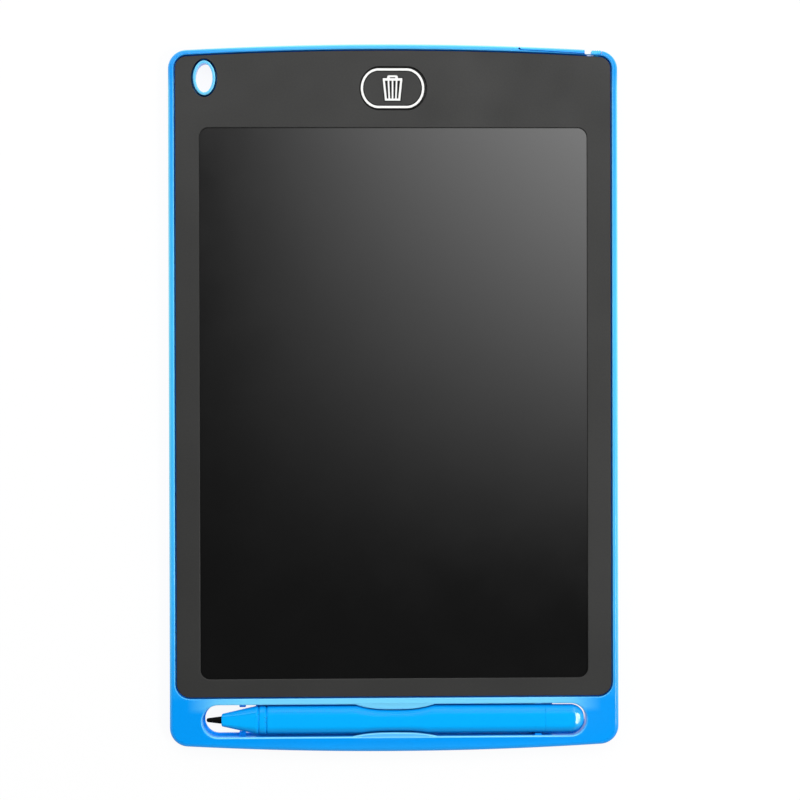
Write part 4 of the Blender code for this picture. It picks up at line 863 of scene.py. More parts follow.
def rim_seam(shell):
    """The fine seam along the head rim beside the lock, and the pin mark where it starts."""
    near = []
    far = []
    for step in range(SEAM_STEPS + 1):
        share = step / SEAM_STEPS
        x = SEAM_START + (SEAM_END - SEAM_START) * share
        inset = SEAM_START_SET + (SEAM_END_SET - SEAM_START_SET) * share
        near.append((x, bow_top(x, inset + SEAM_WIDTH)))
        far.append((x, bow_top(x, inset)))
    top = CASE_TOP + OVERRUN
    mark = [(PIN_MARK_RADIUS, PIN_MARK_LOW), (PIN_MARK_RADIUS, top)]
    cut(shell, (add_prism, near + far[::-1], SEAM_LOW, top))
    cut(shell, (add_turned, SEAM_START, bow_top(SEAM_START, PIN_MARK_SET), mark))


def battery_bay(shell):
    """Door recess through the floor, the pad that it closes against, the cell's well and the boss."""
    middle = cell_y()
    low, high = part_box("battery_door")
    right = high.x + PAD_MARGIN
    left = low.x - PAD_MARGIN
    length = high.y - low.y + 2 * PAD_MARGIN
    pad = rounded_rectangle((left + right) / 2, middle, right - left, length, DOOR_CORNER)
    join(shell, (add_prism, pad, FLOOR - JOIN_DEPTH, PAD_TOP))
    start = WELL_OPENING_ANGLE
    end = 2 * math.pi - WELL_OPENING_ANGLE
    outer = arc(CELL_X, middle, WELL_RADIUS + WELL_WALL, start, end, ROUND_STEPS)
    inner = arc(CELL_X, middle, WELL_RADIUS, end, start, ROUND_STEPS)
    well = (add_prism, outer + inner, PAD_TOP - JOIN_DEPTH, WELL_TOP)
    boss = [(BOSS_RADIUS, PAD_TOP - JOIN_DEPTH), (BOSS_RADIUS, BOSS_TOP)]
    join(shell, well, (add_turned, boss_x(), middle, boss))
    cut(shell, (add_prism, door_outline(DOOR_GAP), -OVERRUN, PAD_BOTTOM))
    seat = [(WELL_RADIUS, DOOR_BOTTOM), (WELL_RADIUS, WELL_TOP + OVERRUN)]
    pilot = [(PILOT_RADIUS, DOOR_BOTTOM), (PILOT_RADIUS, BOSS_TOP - PILOT_SKIN)]
    cut(shell, (add_turned, CELL_X, middle, seat), (add_turned, boss_x(), middle, pilot))


def rear_shell(finish):
    """The moulded case: tray, ribs, electronics bay, stylus slot and lanyard eye."""
    levels = rounded_side(0, CASE_TOP, CROWN_DROP, CROWN_WIDTH, BACK_ROUND)
    shell = solid("case_shell", (add_stack, case_outline, levels))
    mouth = rounded_mouth(LEDGE_TOP, CASE_TOP, RIM_EDGE)
    cut(shell, (add_stack, lambda outset: tray_outline(-outset), mouth))
    cut(shell, (add_prism, tray_outline(LEDGE_WIDTH), RIB_TOP, LEDGE_TOP + OVERRUN / 2))
    gutter = (tray_outline(), tray_outline(GUTTER_WIDTH))
    cut(shell, (add_band, *gutter, GUTTER_LOW, LEDGE_TOP + OVERRUN / 2))
    step = LEDGE_WIDTH + BAY_STEP
    bay = tray_outline(step, bay_foot() - step, RIB_CORNER + step)
    cut(shell, (add_prism, bay, FLOOR, RIB_TOP + OVERRUN))
    cut(shell, *rib_cells())
    cut(shell, *[snap_groove(place) for place in snap_places()])
    battery_bay(shell)
    lanyard_eye(shell)
    stylus_slot(shell)
    lock_recess(shell)
    rim_seam(shell)
    return dress(shell, "tablet", finish, "blue_plastic", "rear_shell")


# Front frame

def snap_tab(place):
    """A tab that hangs from the frame's edge, with a bead on its outer face."""
    tip = RIB_TOP + TAB_TIP
    face = -SLIDE_GAP
    inner = face - TAB_THICKNESS
    bead_high = tip + TAB_BEAD_HEIGHT
    crest = TAB_BEAD - SLIDE_GAP / 2
    profile = [
        (inner, tip),
        (face, tip),
        (crest, tip + 2 * TAB_TIP),
        (crest, bead_high - TAB_TIP),
        (face, bead_high),
        (face, FRAME_BACK + JOIN_DEPTH),
        (inner, FRAME_BACK + JOIN_DEPTH),
    ]
    return (add_against_wall, place, profile, TAB_LENGTH)


def front_frame(finish):
    """The dark frame round the display, with eased edges at its window, key and lanyard openings."""
    levels = rounded_side(FRAME_BACK, FRAME_FACE, FRAME_EDGE)
    bezel = solid("front_bezel", (add_stack, lambda inset: tray_outline(EDGE_GAP + inset), levels))
    low = FRAME_BACK - OVERRUN
    cut(bezel, (add_prism, window_outline(FILM_POCKET_MARGIN), low, LIP_BACK))
    cut(bezel, (add_stack, window_outline, rounded_mouth(low, FRAME_FACE, WINDOW_EDGE)))
    mouth = rounded_mouth(low, FRAME_FACE, FRAME_HOLE_EDGE)
    cut(bezel, (add_stack, lambda grow: key_outline(KEY_GAP + grow), mouth))
    cut(bezel, (add_stack, lambda grow: eye_outline(EYE_WALL + EYE_GAP + grow), mouth))
    join(bezel, *[snap_tab(place) for place in snap_places()])
    return dress(bezel, "tablet", finish, "dark_plastic", "front_frame")


# Erase key

def erase_key(finish, ink, ground):
    """The key cap, with a white ring and a bin sign that are each printed on a dark ground."""
    levels = [(KEY_BOTTOM, -KEY_FLANGE), (KEY_FLANGE_TOP, -KEY_FLANGE)]
    levels += rounded_side(KEY_FLANGE_TOP, KEY_TOP, KEY_EDGE)
    key = solid("erase_key_cap", (add_stack, lambda inset: key_outline(-KEY_TRIM - inset), levels))
    cut(key, (add_prism, key_outline(-KEY_WALL), KEY_BOTTOM - OVERRUN, KEY_TOP - KEY_SKIN))
    stem = [(KEY_STEM, STEM_BOTTOM), (KEY_STEM, KEY_TOP - KEY_SKIN / 2)]
    join(key, (add_turned, 0, KEY_Y, stem))
    dress(key, "erase_button", finish, "dark_plastic", "erase_key")
    ring_print("key_ring_print", ink, 0, PRINT_RAISE)
    ring_print("key_ring_ground", ground, PRINT_BORDER, GROUND_RAISE)
    bin_ground(ground)
    bin_sign(ink)


def ring_print(name, ink, border, thickness):
    """A printed ring on the key, wider by a border on both of its sides."""
    top = KEY_TOP + thickness
    outer = [(x + PRINT_X, y) for x, y in key_outline(border - RING_SET)]
    inner = [(x + PRINT_X, y) for x, y in key_outline(-RING_SET - RING_WIDTH - border)]
    ring = solid(name, (add_prism, outer, KEY_TOP, top))
    cut(ring, (add_prism, inner, KEY_TOP - OVERRUN, top + OVERRUN))
    dress(ring, "erase_button", ink, "dark_plastic")


def bin_ground(ground):
    """The dark ground under the bin sign, a border wider than its lid and body."""
    foot = SIGN_FOOT / 2 + PRINT_BORDER
    head = SIGN_BODY / 2 + PRINT_BORDER
    low = SIGN_BOTTOM - PRINT_BORDER
    high = SIGN_LID_TOP + PRINT_BORDER
    outline = [(PRINT_X - foot, KEY_Y + low), (PRINT_X + foot, KEY_Y + low)]
    outline += [(PRINT_X + head, KEY_Y + high), (PRINT_X - head, KEY_Y + high)]
    plate = solid("bin_sign_ground", (add_prism, outline, KEY_TOP, KEY_TOP + GROUND_RAISE))
    dress(plate, "erase_button", ground, "dark_plastic")


def bin_sign(ink):
    """A plain litter bin: lid with a handle, tapered body and three ribs."""
    top = KEY_TOP + PRINT_RAISE

    def shape(points):
        return (add_prism, [(x + PRINT_X, KEY_Y + y) for x, y in points], KEY_TOP, top)

    def bar(low, high, width):
        return shape([(-width / 2, low), (width / 2, low), (width / 2, high), (-width / 2, high)])

    sign = solid("bin_sign_print", bar(SIGN_LID_LOW, SIGN_LID_TOP, SIGN_LID))
    handle_height = SIGN_HANDLE_TOP - SIGN_LID_LOW
    handle_y = SIGN_LID_LOW + handle_height / 2
    corner = SIGN_HANDLE_CORNER
    join(sign, shape(rounded_rectangle(0, handle_y, SIGN_HANDLE, handle_height, corner, EDGE_STEPS)))
    x = (PRINT_X - SIGN_SLOT / 2, PRINT_X + SIGN_SLOT / 2)
    y = (KEY_Y + SIGN_LID_TOP, KEY_Y + SIGN_LID_TOP + SIGN_SLOT_HEIGHT)
    cut(sign, (add_box, x, y, (KEY_TOP - OVERRUN, top + OVERRUN)))

    def slanted(top_x, foot_x, half):
        foot = SIGN_BOTTOM + SIGN_STROKE / 2
        head = SIGN_LID_LOW + SIGN_STROKE / 4
        return [(foot_x - half, foot), (foot_x + half, foot), (top_x + half, head), (top_x - half, head)]

    bars = [bar(SIGN_BOTTOM, SIGN_BOTTOM + SIGN_STROKE, SIGN_FOOT)]
    half = SIGN_STROKE / 2
    for side in (-1, 1):
        bars.append(shape(slanted(side * (SIGN_BODY / 2 - half), side * (SIGN_FOOT / 2 - half), half)))
    for side in (-1, 0, 1):
        bars.append(shape(slanted(side * SIGN_RIB_SPREAD, side * SIGN_RIB_FOOT_SPREAD, SIGN_RIB / 2)))
    for step in bars:
        join(sign, step)
    dress(sign, "erase_button", ink, "dark_plastic")


# Lock lever

def lock_lever(finish):
    """The slider: a ridged thumb piece outside, a stem through the wall and a foot in the housing."""
    low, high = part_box("lock_lever")
    edge = bow_top(LOCK_X)
    back = edge - NOTCH_DEPTH + SLIDE_GAP
    x = LOCK_REST
    half = STEM_WIDTH / 2
    wide = FOOT_WIDTH / 2
    shoulder = low.y + FOOT_LENGTH
    middle = (back + high.y) / 2
    stem = [
        (x - wide, low.y),
        (x + wide, low.y),
        (x + wide, shoulder),
        (x + half, shoulder),
        (x + half, middle),
        (x - half, middle),
        (x - half, shoulder),
        (x - wide, shoulder),
    ]
    stem_low = LOCK_Z - STEM_HEIGHT / 2
    lever = solid("lock_slider_knob", (add_prism, stem, stem_low, LOCK_Z + STEM_HEIGHT / 2))
    width = high.x - low.x
    front = high.y - THUMB_RIDGE
    thumb = [(low.x, back), (high.x, back), (high.x, front)]
    steps = THUMB_RIDGES * RIDGE_STEPS
    for step in range(1, steps):
        wave = abs(math.sin(math.pi * step / RIDGE_STEPS))
        thumb.append((high.x - width * step / steps, front + THUMB_RIDGE * wave))
    thumb.append((low.x, front))
    levels = rounded_side(low.z, high.z, KNOB_EDGE)
    join(lever, (add_stack, lambda inset: shrink(thumb, inset), levels))
    return dress(lever, "lock_slider", finish, "blue_plastic", "lock_lever")


# Battery door

def battery_door(finish):
    """The cover in the back: eased edges, locating lugs, a screw hole and a groove for a fingernail."""
    levels = [(DOOR_BOTTOM, -DOOR_EDGE), (DOOR_BOTTOM + DOOR_EDGE, 0), (DOOR_TOP, 0)]
    door = solid("battery_cover", (add_stack, door_outline, levels))
    head = SCREW_HEAD + SLIDE_GAP
    shaft = SCREW_RADIUS + SLIDE_GAP
    hole = [
        (head, DOOR_BOTTOM - OVERRUN),
        (head, DOOR_BOTTOM + SCREW_SEAT),
        (shaft, DOOR_TOP),
        (shaft, DOOR_TOP + OVERRUN),
    ]
    cut(door, (add_turned, boss_x(), cell_y(), hole))
    x = CELL_X + WELL_RADIUS - NAIL_WIDTH / 2
    low = DOOR_BOTTOM - OVERRUN
    rings = []
    for step in range(EDGE_STEPS * 2 + 1):
        angle = math.pi * step / (EDGE_STEPS * 2)
        offset = NAIL_LENGTH / 2 * math.cos(angle)
        size = max(math.sin(angle), NAIL_END_SHARE)
        y = cell_y() + offset
        depth = DOOR_BOTTOM + NAIL_DEPTH * size
        half = NAIL_WIDTH / 2 * size
        section = [(-half, low), (half, low), (half, DOOR_BOTTOM), (0, depth), (-half, DOOR_BOTTOM)]
        rings.append([(x + dx, y, z) for dx, z in section])
    cut(door, (add_loft, rings))
    return dress(door, "door", finish, "blue_plastic", "battery_door")


# Stylus

def pen_ring(x, half_width, half_height, aside=0):
    """A cross-section of the stylus: flat above and below, with oval sides."""
    wide = PEN_SIDE_SHARE * half_width
    tall = PEN_ROUND_SHARE * half_height
    points = []
    for turn, (dy, dz) in enumerate(((1, -1), (1, 1), (-1, 1), (-1, -1))):
        middle = (SLOT_Y + aside + dy * (half_width - wide), PEN_Z + dz * (half_height - tall))
        for y, z in arc(0, 0, 1, (turn - 1) * math.pi / 2, turn * math.pi / 2, PEN_STEPS):
            points.append((x, middle[0] + wide * y, middle[1] + tall * z))
    return points


def axial_ring(x, radius):
    """A round cross-section on the stylus' own axis."""
    return [(x, y, z) for y, z in ellipse(SLOT_Y, PEN_Z, radius, radius)]


def nose_half_width(x):
    """Half the width of the tapered nose at a place along it."""
    share = min(max((x - NOSE_X) / NOSE_LENGTH, 0), 1)
    return NOSE_HALF + (PEN_HALF - NOSE_HALF) * share


def nose_half_height(x):
    """Half the thickness of the tapered nose at a place along it."""
    share = min(max((x - NOSE_X) / NOSE_LENGTH, 0), 1)
    return NOSE_HALF_HEIGHT + (PEN_HALF_HEIGHT - NOSE_HALF_HEIGHT) * share


def barrel_station(x):
    """A cross-section of the barrel, waisted between the snap lips so that it lifts out."""
    upper, lower = [min(PEN_HALF, SLOT_HALF - lip_reach(x, side) - PEN_LIP_GAP) for side in (1, -1)]
    return (x, (upper + lower) / 2, PEN_HALF_HEIGHT, (upper - lower) / 2)


def groove_dip(share):
    """The depth of a soft groove, from its middle at nought to its shoulders at one on each side."""
    return GROOVE_DEPTH * (1 + math.cos(math.pi * share)) / 2


def groove_stations(middle, start, end):
    """Cross-sections of the stylus through a soft groove, between two shares of its half width."""
    stations = []
    for step in range(2 * EDGE_STEPS + 1):
        share = start + (end - start) * step / (2 * EDGE_STEPS)
        dip = groove_dip(share)
        stations.append((middle + share * GROOVE_WIDTH / 2, PEN_HALF - dip, PEN_HALF_HEIGHT - dip))
    return stations


def stylus_nib(finish):
    """The dark nib: a cone with a rounded point and a shank that sits in the nose."""
    stations = []
    point = NIB_POINT / 2
    for cosine, sine in quarter_turn():
        stations.append((TIP_X + point * (1 - cosine), max(point * sine, point * NIB_END_SHARE)))
    base = NOSE_X - BORE_GAP
    stations.append((base, NIB_BASE / 2))
    stations.append((base, NIB_SHANK / 2))
    stations.append((base + NIB_SHANK_LENGTH, NIB_SHANK / 2))
    nib = solid("stylus_nib_point", (add_loft, [axial_ring(x, radius) for x, radius in stations]))
    return dress(nib, "stylus", finish, "nib_plastic", "stylus_nib")


def stylus_nose(finish):
    """The tapered nose with its grooved collar, and the spigot that fits the barrel."""
    stations = []
    for cosine, sine in quarter_turn():
        x = NOSE_X + NOSE_ROUND * (1 - cosine)
        ease = NOSE_ROUND * (1 - sine)
        stations.append((x, nose_half_width(x) - ease, nose_half_height(x) - ease))
    stations.append((COLLAR_X, PEN_HALF, PEN_HALF_HEIGHT))
    stations += groove_stations(GROOVE_X, -1, 1)
    stations += groove_stations(BARREL_X, -1, 0)
    stations.append((BARREL_X, SPIGOT_HALF, SPIGOT_HALF_HEIGHT))
    stations.append((BARREL_X + SPIGOT_LENGTH, SPIGOT_HALF, SPIGOT_HALF_HEIGHT))
    nose = solid("stylus_cone", (add_loft, [pen_ring(*station) for station in stations]))
    radius = NIB_SHANK / 2 + BORE_GAP
    bore = [axial_ring(x, radius) for x in (NOSE_X - OVERRUN, NOSE_X + NIB_SHANK_LENGTH + BORE_GAP)]
    cut(nose, (add_loft, bore))
    return dress(nose, "stylus", finish, "stylus_plastic", "stylus_nose")


def stylus_barrel(finish):
    """The barrel: a flat tube, eased in between the snap lips."""
    start = BARREL_X + SEAM_GAP
    stations = groove_stations(start, 0, 1)
    stations += [barrel_station(x) for x in waist_places()]
    stations.append((CAP_X - SEAM_GAP, PEN_HALF, PEN_HALF_HEIGHT))
    stations.append((CAP_X, PEN_HALF - SEAM_GAP, PEN_HALF_HEIGHT - SEAM_GAP))
    barrel = solid("stylus_tube", (add_loft, [pen_ring(*station) for station in stations]))
    half = SPIGOT_HALF + BORE_GAP
    half_height = SPIGOT_HALF_HEIGHT + BORE_GAP
    cut(barrel, (add_loft, [pen_ring(x, half, half_height) for x in (start - OVERRUN, CAP_X + OVERRUN)]))
    return dress(barrel, "stylus", finish, "stylus_plastic", "stylus_barrel")


def stylus_tail(finish):
    """The rounded tail, with its own spigot in the barrel."""
    start = CAP_X + SEAM_GAP
    stations = [
        (start - SPIGOT_LENGTH, SPIGOT_HALF, SPIGOT_HALF_HEIGHT),
        (start, SPIGOT_HALF, SPIGOT_HALF_HEIGHT),
        (start, PEN_HALF - SEAM_GAP, PEN_HALF_HEIGHT - SEAM_GAP),
        (start + SEAM_GAP, PEN_HALF, PEN_HALF_HEIGHT),
    ]
    for cosine, sine in quarter_turn(2 * CORNER_STEPS):
        wide = CAP_END_WIDTH_SHARE + (1 - CAP_END_WIDTH_SHARE) * cosine
        x = TAIL_X - CAP_ROUND * (1 - sine)
        facet = max(CAP_FACET_LENGTH - (TAIL_X - x), 0)
        along = max(1 - (TAIL_X - x) / CAP_EDGE_LENGTH, 0)
        fall = CAP_FACET_SLOPE * facet + CAP_EDGE_DROP * (1 - math.sqrt(1 - along ** 2))
        stations.append((x, PEN_HALF * wide, PEN_HALF_HEIGHT - fall))
    tail = solid("stylus_tail", (add_loft, [pen_ring(*station) for station in stations]))
    return dress(tail, "stylus", finish, "stylus_plastic", "stylus_end_cap")


# Shader node groups, each used by several finishes

def new_group(name, inputs, outputs):
    """An empty node group with named sockets."""
    group = bpy.data.node_groups.new(name, "ShaderNodeTree")
    for label, kind, value in inputs:
        made = group.interface.new_socket(label, in_out="INPUT", socket_type=kind)
        made.default_value = value
    for label, kind in outputs:
        group.interface.new_socket(label, in_out="OUTPUT", socket_type=kind)
    entry = group.nodes.new("NodeGroupInput")
    result = group.nodes.new("NodeGroupOutput")
    return group, entry, result


def pattern(group, entry, kind):
    """A texture over the piece's own space, at the scale that its group is given."""
    place = group.nodes.new("ShaderNodeTexCoord")
    texture = group.nodes.new(kind)
    group.links.new(place.outputs["Object"], texture.inputs["Vector"])
    group.links.new(entry.outputs["Scale"], texture.inputs["Scale"])
    return texture


def noise(group, entry, detail):
    """Noise over the piece, as fine as its detail says."""
    texture = pattern(group, entry, "ShaderNodeTexNoise")
    texture.inputs["Detail"].default_value = detail
    return texture.outputs["Fac"]


def spread(tree, source, low, high):
    """A node whose result runs from nought to one as the source goes from a low to a high value."""
    node = tree.nodes.new("ShaderNodeMapRange")
    node.inputs["From Min"].default_value = low
    node.inputs["From Max"].default_value = high
    tree.links.new(source, node.inputs["Value"])
    return node


def grain_group():
    """Fine moulded grain: a height made of noise and small pits."""
    inputs = [("Scale", "NodeSocketFloat", 2000.0), ("Softness", "NodeSocketFloat", 0.5)]
    group, entry, result = new_group("Moulded grain", inputs, [("Height", "NodeSocketFloat")])
    links = group.links
    pits = pattern(group, entry, "ShaderNodeTexVoronoi")
    pits.feature = "SMOOTH_F1"
    blend = group.nodes.new("ShaderNodeMix")
    links.new(entry.outputs["Softness"], blend.inputs["Factor"])
    links.new(noise(group, entry, GRAIN_DETAIL), blend.inputs["A"])
    links.new(pits.outputs["Distance"], blend.inputs["B"])
    links.new(blend.outputs["Result"], result.inputs["Height"])
    return group


def drift_group():
    """Changes of tone at one scale: slow ones as the plastic flowed, or a fine mottle."""
    inputs = [
        ("Colour", "NodeSocketColor", (0.5, 0.5, 0.5, 1)),
        ("Depth", "NodeSocketFloat", 0.05),
        ("Scale", "NodeSocketFloat", DRIFT_SCALE),
    ]
    group, entry, result = new_group("Tone drift", inputs, [("Colour", "NodeSocketColor")])
    nodes, links = group.nodes, group.links
    drift = spread(group, noise(group, entry, DRIFT_DETAIL), *DRIFT_RANGE)
    shade = nodes.new("ShaderNodeMath")
    shade.operation = "MULTIPLY"
    invert = nodes.new("ShaderNodeMath")
    invert.operation = "SUBTRACT"
    invert.inputs[0].default_value = 1
    scaled = nodes.new("ShaderNodeVectorMath")
    scaled.operation = "SCALE"
    links.new(drift.outputs["Result"], shade.inputs[0])
    links.new(entry.outputs["Depth"], shade.inputs[1])
    links.new(shade.outputs["Value"], invert.inputs[1])
    links.new(entry.outputs["Colour"], scaled.inputs[0])
    links.new(invert.outputs["Value"], scaled.inputs["Scale"])
    links.new(scaled.outputs["Vector"], result.inputs["Colour"])
    return group


def sheen_group():
    """Roughness that wanders between two values, as faint handling marks leave it."""
    inputs = [
        ("Smooth", "NodeSocketFloat", 0.3),
        ("Dull", "NodeSocketFloat", 0.4),
        ("Scale", "NodeSocketFloat", SHEEN_SCALE),
    ]
    group, entry, result = new_group("Handling sheen", inputs, [("Roughness", "NodeSocketFloat")])
    sheen = spread(group, noise(group, entry, SHEEN_DETAIL), *SHEEN_RANGE)
    group.links.new(entry.outputs["Smooth"], sheen.inputs["To Min"])
    group.links.new(entry.outputs["Dull"], sheen.inputs["To Max"])
    group.links.new(sheen.outputs["Result"], result.inputs["Roughness"])
    return group


GRAIN = grain_group()
DRIFT = drift_group()
SHEEN = sheen_group()


# Finishes

def linear(colour):
    """A colour as 0 to 255 on screen, turned into linear light."""
    shares = [value / 255 for value in colour]
    return (*[((v + 0.055) / 1.055) ** 2.4 if v > 0.04045 else v / 12.92 for v in shares], 1)


def place_group(material, group, **values):
    """Put a group in a material and set its own values."""
    node = material.node_tree.nodes.new("ShaderNodeGroup")
    node.node_tree = group
    for label, value in values.items():
        node.inputs[label].default_value = value
    return node


def moulded(name, colour, smooth, dull, depth, grain, bump, softness):
    """A finish with tone drift, mottle, handling sheen and grain, each at its own scale."""
    made = bpy.data.materials.new(name)
    made.use_nodes = True
    links = made.node_tree.links
    shader = made.node_tree.nodes["Principled BSDF"]
    drift = place_group(made, DRIFT, Colour=linear(colour), Depth=depth)
    mottle = place_group(made, DRIFT, Depth=depth * MOTTLE_SHARE, Scale=MOTTLE_SCALE)
    sheen = place_group(made, SHEEN, Smooth=smooth, Dull=dull)
    speck = place_group(made, GRAIN, Scale=grain, Softness=softness)
    relief = made.node_tree.nodes.new("ShaderNodeBump")
    relief.inputs["Strength"].default_value = bump
    relief.inputs["Distance"].default_value = GRAIN_HEIGHT
    links.new(drift.outputs["Colour"], mottle.inputs["Colour"])
    links.new(mottle.outputs["Colour"], shader.inputs["Base Color"])
    links.new(sheen.outputs["Roughness"], shader.inputs["Roughness"])
    links.new(speck.outputs["Height"], relief.inputs["Height"])
    links.new(relief.outputs["Normal"], shader.inputs["Normal"])
    return made


def shade_stops(material, source, reach, stops):
    """A share that runs between the stops as the source goes over its reach."""
    low, high = reach
    ramp = material.node_tree.nodes.new("ShaderNodeValToRGB")
    points = ramp.color_ramp.elements
    while len(points) < len(stops):
        points.new(0.5)
    for point, (place, share) in zip(points, stops):
        point.position = (place - low) / (high - low)
        point.color = (share, share, share, 1)
    along = spread(material.node_tree, source, low, high)
    material.node_tree.links.new(along.outputs["Result"], ramp.inputs["Fac"])
    return ramp.outputs["Color"]


def combine(tree, operation, first, second):
    """The result of two shares in a node tree, of which the second may be a plain number."""
    node = tree.nodes.new("ShaderNodeMath")
    node.operation = operation
    tree.links.new(first, node.inputs[0])
    if isinstance(second, float):
        node.inputs[1].default_value = second
    else:
        tree.links.new(second, node.inputs[1])
    return node.outputs["Value"]


def tint(material, share, colour):
    """Blend a finish's base colour towards another one by a share."""
    nodes, links = material.node_tree.nodes, material.node_tree.links
    surface = nodes["Principled BSDF"].inputs["Base Color"]
    mix = nodes.new("ShaderNodeMix")
    mix.data_type = "RGBA"
    mix.inputs["B"].default_value = linear(colour)
    links.new(share, mix.inputs["Factor"])
    links.new(surface.links[0].from_socket, mix.inputs["A"])
    links.new(mix.outputs["Result"], surface)


def paint_edge_highlights(material):
    """Paint highlights on the blue plastic: a paler colour on its rims, rail, lips, eye and the rounded
    edges of its openings, standing in for the light that they catch, and a painted sheen along its raised
    rims.
    """
    tree = material.node_tree
    nodes, links = tree.nodes, tree.links
    place = nodes.new("ShaderNodeTexCoord")
    facing = nodes.new("ShaderNodeSeparateXYZ")
    where = nodes.new("ShaderNodeSeparateXYZ")
    aside = nodes.new("ShaderNodeMath")
    aside.operation = "ABSOLUTE"
    links.new(place.outputs["Normal"], facing.inputs["Vector"])
    links.new(place.outputs["Object"], where.inputs["Vector"])
    links.new(where.outputs["X"], aside.inputs[0])

    def by_slope(stops):
        return shade_stops(material, facing.outputs["Z"], (0, 1), stops)

    def by_place_along(stops):
        return shade_stops(material, where.outputs["Y"], (-HALF_LENGTH, HALF_LENGTH), stops)

    def by_place_across(stops):
        return shade_stops(material, aside.outputs["Value"], (0, HALF_WIDTH), stops)

    def both(first, second):
        return combine(tree, "MULTIPLY", first, second)

    def either(first, second):
        return combine(tree, "MAXIMUM", first, second)

    raised = spread(tree, where.outputs["Z"], HIGHLIGHT_RAISE_LOW, HIGHLIGHT_RAISE_HIGH).outputs["Result"]
    beside_slot = by_place_across(SLOT_SIDE_STOPS)
    rail = both(by_place_along(RAIL_STOPS), beside_slot)
    lip = both(by_place_along(LOWER_LIP_STOPS), by_place_across(LOWER_LIP_SIDE_STOPS))
    slot_zone = both(by_place_along(FOOT_ZONE_STOPS), beside_slot)
    eye_zone = both(by_place_along(EYE_ZONE_STOPS), by_place_across(EYE_SIDE_STOPS))
    walls = both(by_place_along(RIM_SHEEN_STOPS), raised)
    flats = both(either(either(rail, lip), both(eye_zone, EYE_SHARE)), raised)
    openings = both(by_slope(OPENING_SLOPE_STOPS), either(slot_zone, eye_zone))
    crowns = both(by_slope(RIM_SLOPE_STOPS), by_place_along(RIM_SLOPE_REACH_STOPS))
    # Painted sheen: the raised rims are made paler by place along the case, standing in for light
    tint(material, walls, PAINTED_RIM_SHEEN_BLUE)
    # Painted highlights: the flats, openings and crowns are made paler to stand in for the light on them
    tint(material, either(flats, either(openings, crowns)), PAINTED_HIGHLIGHT_BLUE)


def paint_stylus_shade_and_tail_shine(material):
    """Paint shade on the stylus' sides as a deeper blue, deepest on its lower side, and let it shine at
    its tail.
    """
    nodes, links = material.node_tree.nodes, material.node_tree.links
    place = nodes.new("ShaderNodeTexCoord")
    where = nodes.new("ShaderNodeSeparateXYZ")
    facing = nodes.new("ShaderNodeSeparateXYZ")
    links.new(place.outputs["Object"], where.inputs["Vector"])
    links.new(place.outputs["Normal"], facing.inputs["Vector"])
    # Painted shade: the blue deepens where the stylus turns to its sides, most where it faces the foot
    tint(material, shade_stops(material, facing.outputs["Y"], (-1, 1), STYLUS_SHADE_STOPS), STYLUS_SHADE_BLUE)
    shine = shade_stops(material, where.outputs["X"], (CAP_X, TAIL_X), TAIL_SHINE_STOPS)
    links.new(shine, nodes["Principled BSDF"].inputs["Specular IOR Level"])


def polish(material, label, value):
    """Set a plain value on a finish's surface."""
    material.node_tree.nodes["Principled BSDF"].inputs[label].default_value = value


# Light, floor and camera

def world_light():
    """A dim ceiling, bright walls and a soft glow overhead, towards the head and right of the tablet."""
    world = bpy.data.worlds.new("studio")
    bpy.context.scene.world = world
    world.use_nodes = True
    tree = world.node_tree
    nodes, links = tree.nodes, tree.links
    nodes.clear()
    output = nodes.new("ShaderNodeOutputWorld")
    place = nodes.new("ShaderNodeTexCoord")
    split = nodes.new("ShaderNodeSeparateXYZ")
    links.new(place.outputs["Generated"], split.inputs["Vector"])

    def ramp(source, starts, ends, smooth):
        node = nodes.new("ShaderNodeMapRange")
        node.interpolation_type = "SMOOTHSTEP" if smooth else "LINEAR"
        for side, (point, value) in (("Min", starts), ("Max", ends)):
            node.inputs[f"From {side}"].default_value = point
            node.inputs[f"To {side}"].default_value = value
        links.new(source, node.inputs["Value"])
        return node.outputs["Result"]

    walls = ramp(split.outputs["Z"], (WALL_TOP, WALL_LIGHT), (CEILING_FOOT, CEILING_LIGHT), True)
    sway = ramp(split.outputs["Y"], (-1, 1 - WALL_SWAY), (1, 1 + WALL_SWAY), False)
    across = ramp(split.outputs["X"], (GLOW_LEFT, GLOW_LEFT_SHARE), (GLOW_RIGHT, GLOW_GAIN), False)
    rise = ramp(split.outputs["Y"], (GLOW_LOW, 0), (GLOW_HIGH, GLOW_GAIN), False)
    along = nodes.new("ShaderNodeMath")
    along.operation = "POWER"
    along.inputs[1].default_value = GLOW_CURVE
    links.new(rise, along.inputs[0])
    above = ramp(split.outputs["Z"], (GLOW_FOOT, 0), (GLOW_TOP, GLOW_LIGHT), True)
    glow = combine(tree, "MULTIPLY", combine(tree, "MULTIPLY", across, along.outputs["Value"]), above)
    light = combine(tree, "ADD", combine(tree, "MULTIPLY", walls, sway), glow)

    ambient = nodes.new("ShaderNodeBackground")
    links.new(light, ambient.inputs["Strength"])
    seen = nodes.new("ShaderNodeBackground")
    seen.inputs["Color"].default_value = BACKDROP_TONE
    paths = nodes.new("ShaderNodeLightPath")
    mix = nodes.new("ShaderNodeMixShader")
    links.new(paths.outputs["Is Camera Ray"], mix.inputs["Fac"])
    links.new(ambient.outputs["Background"], mix.inputs[1])
    links.new(seen.outputs["Background"], mix.inputs[2])
    links.new(mix.outputs["Shader"], output.inputs["Surface"])


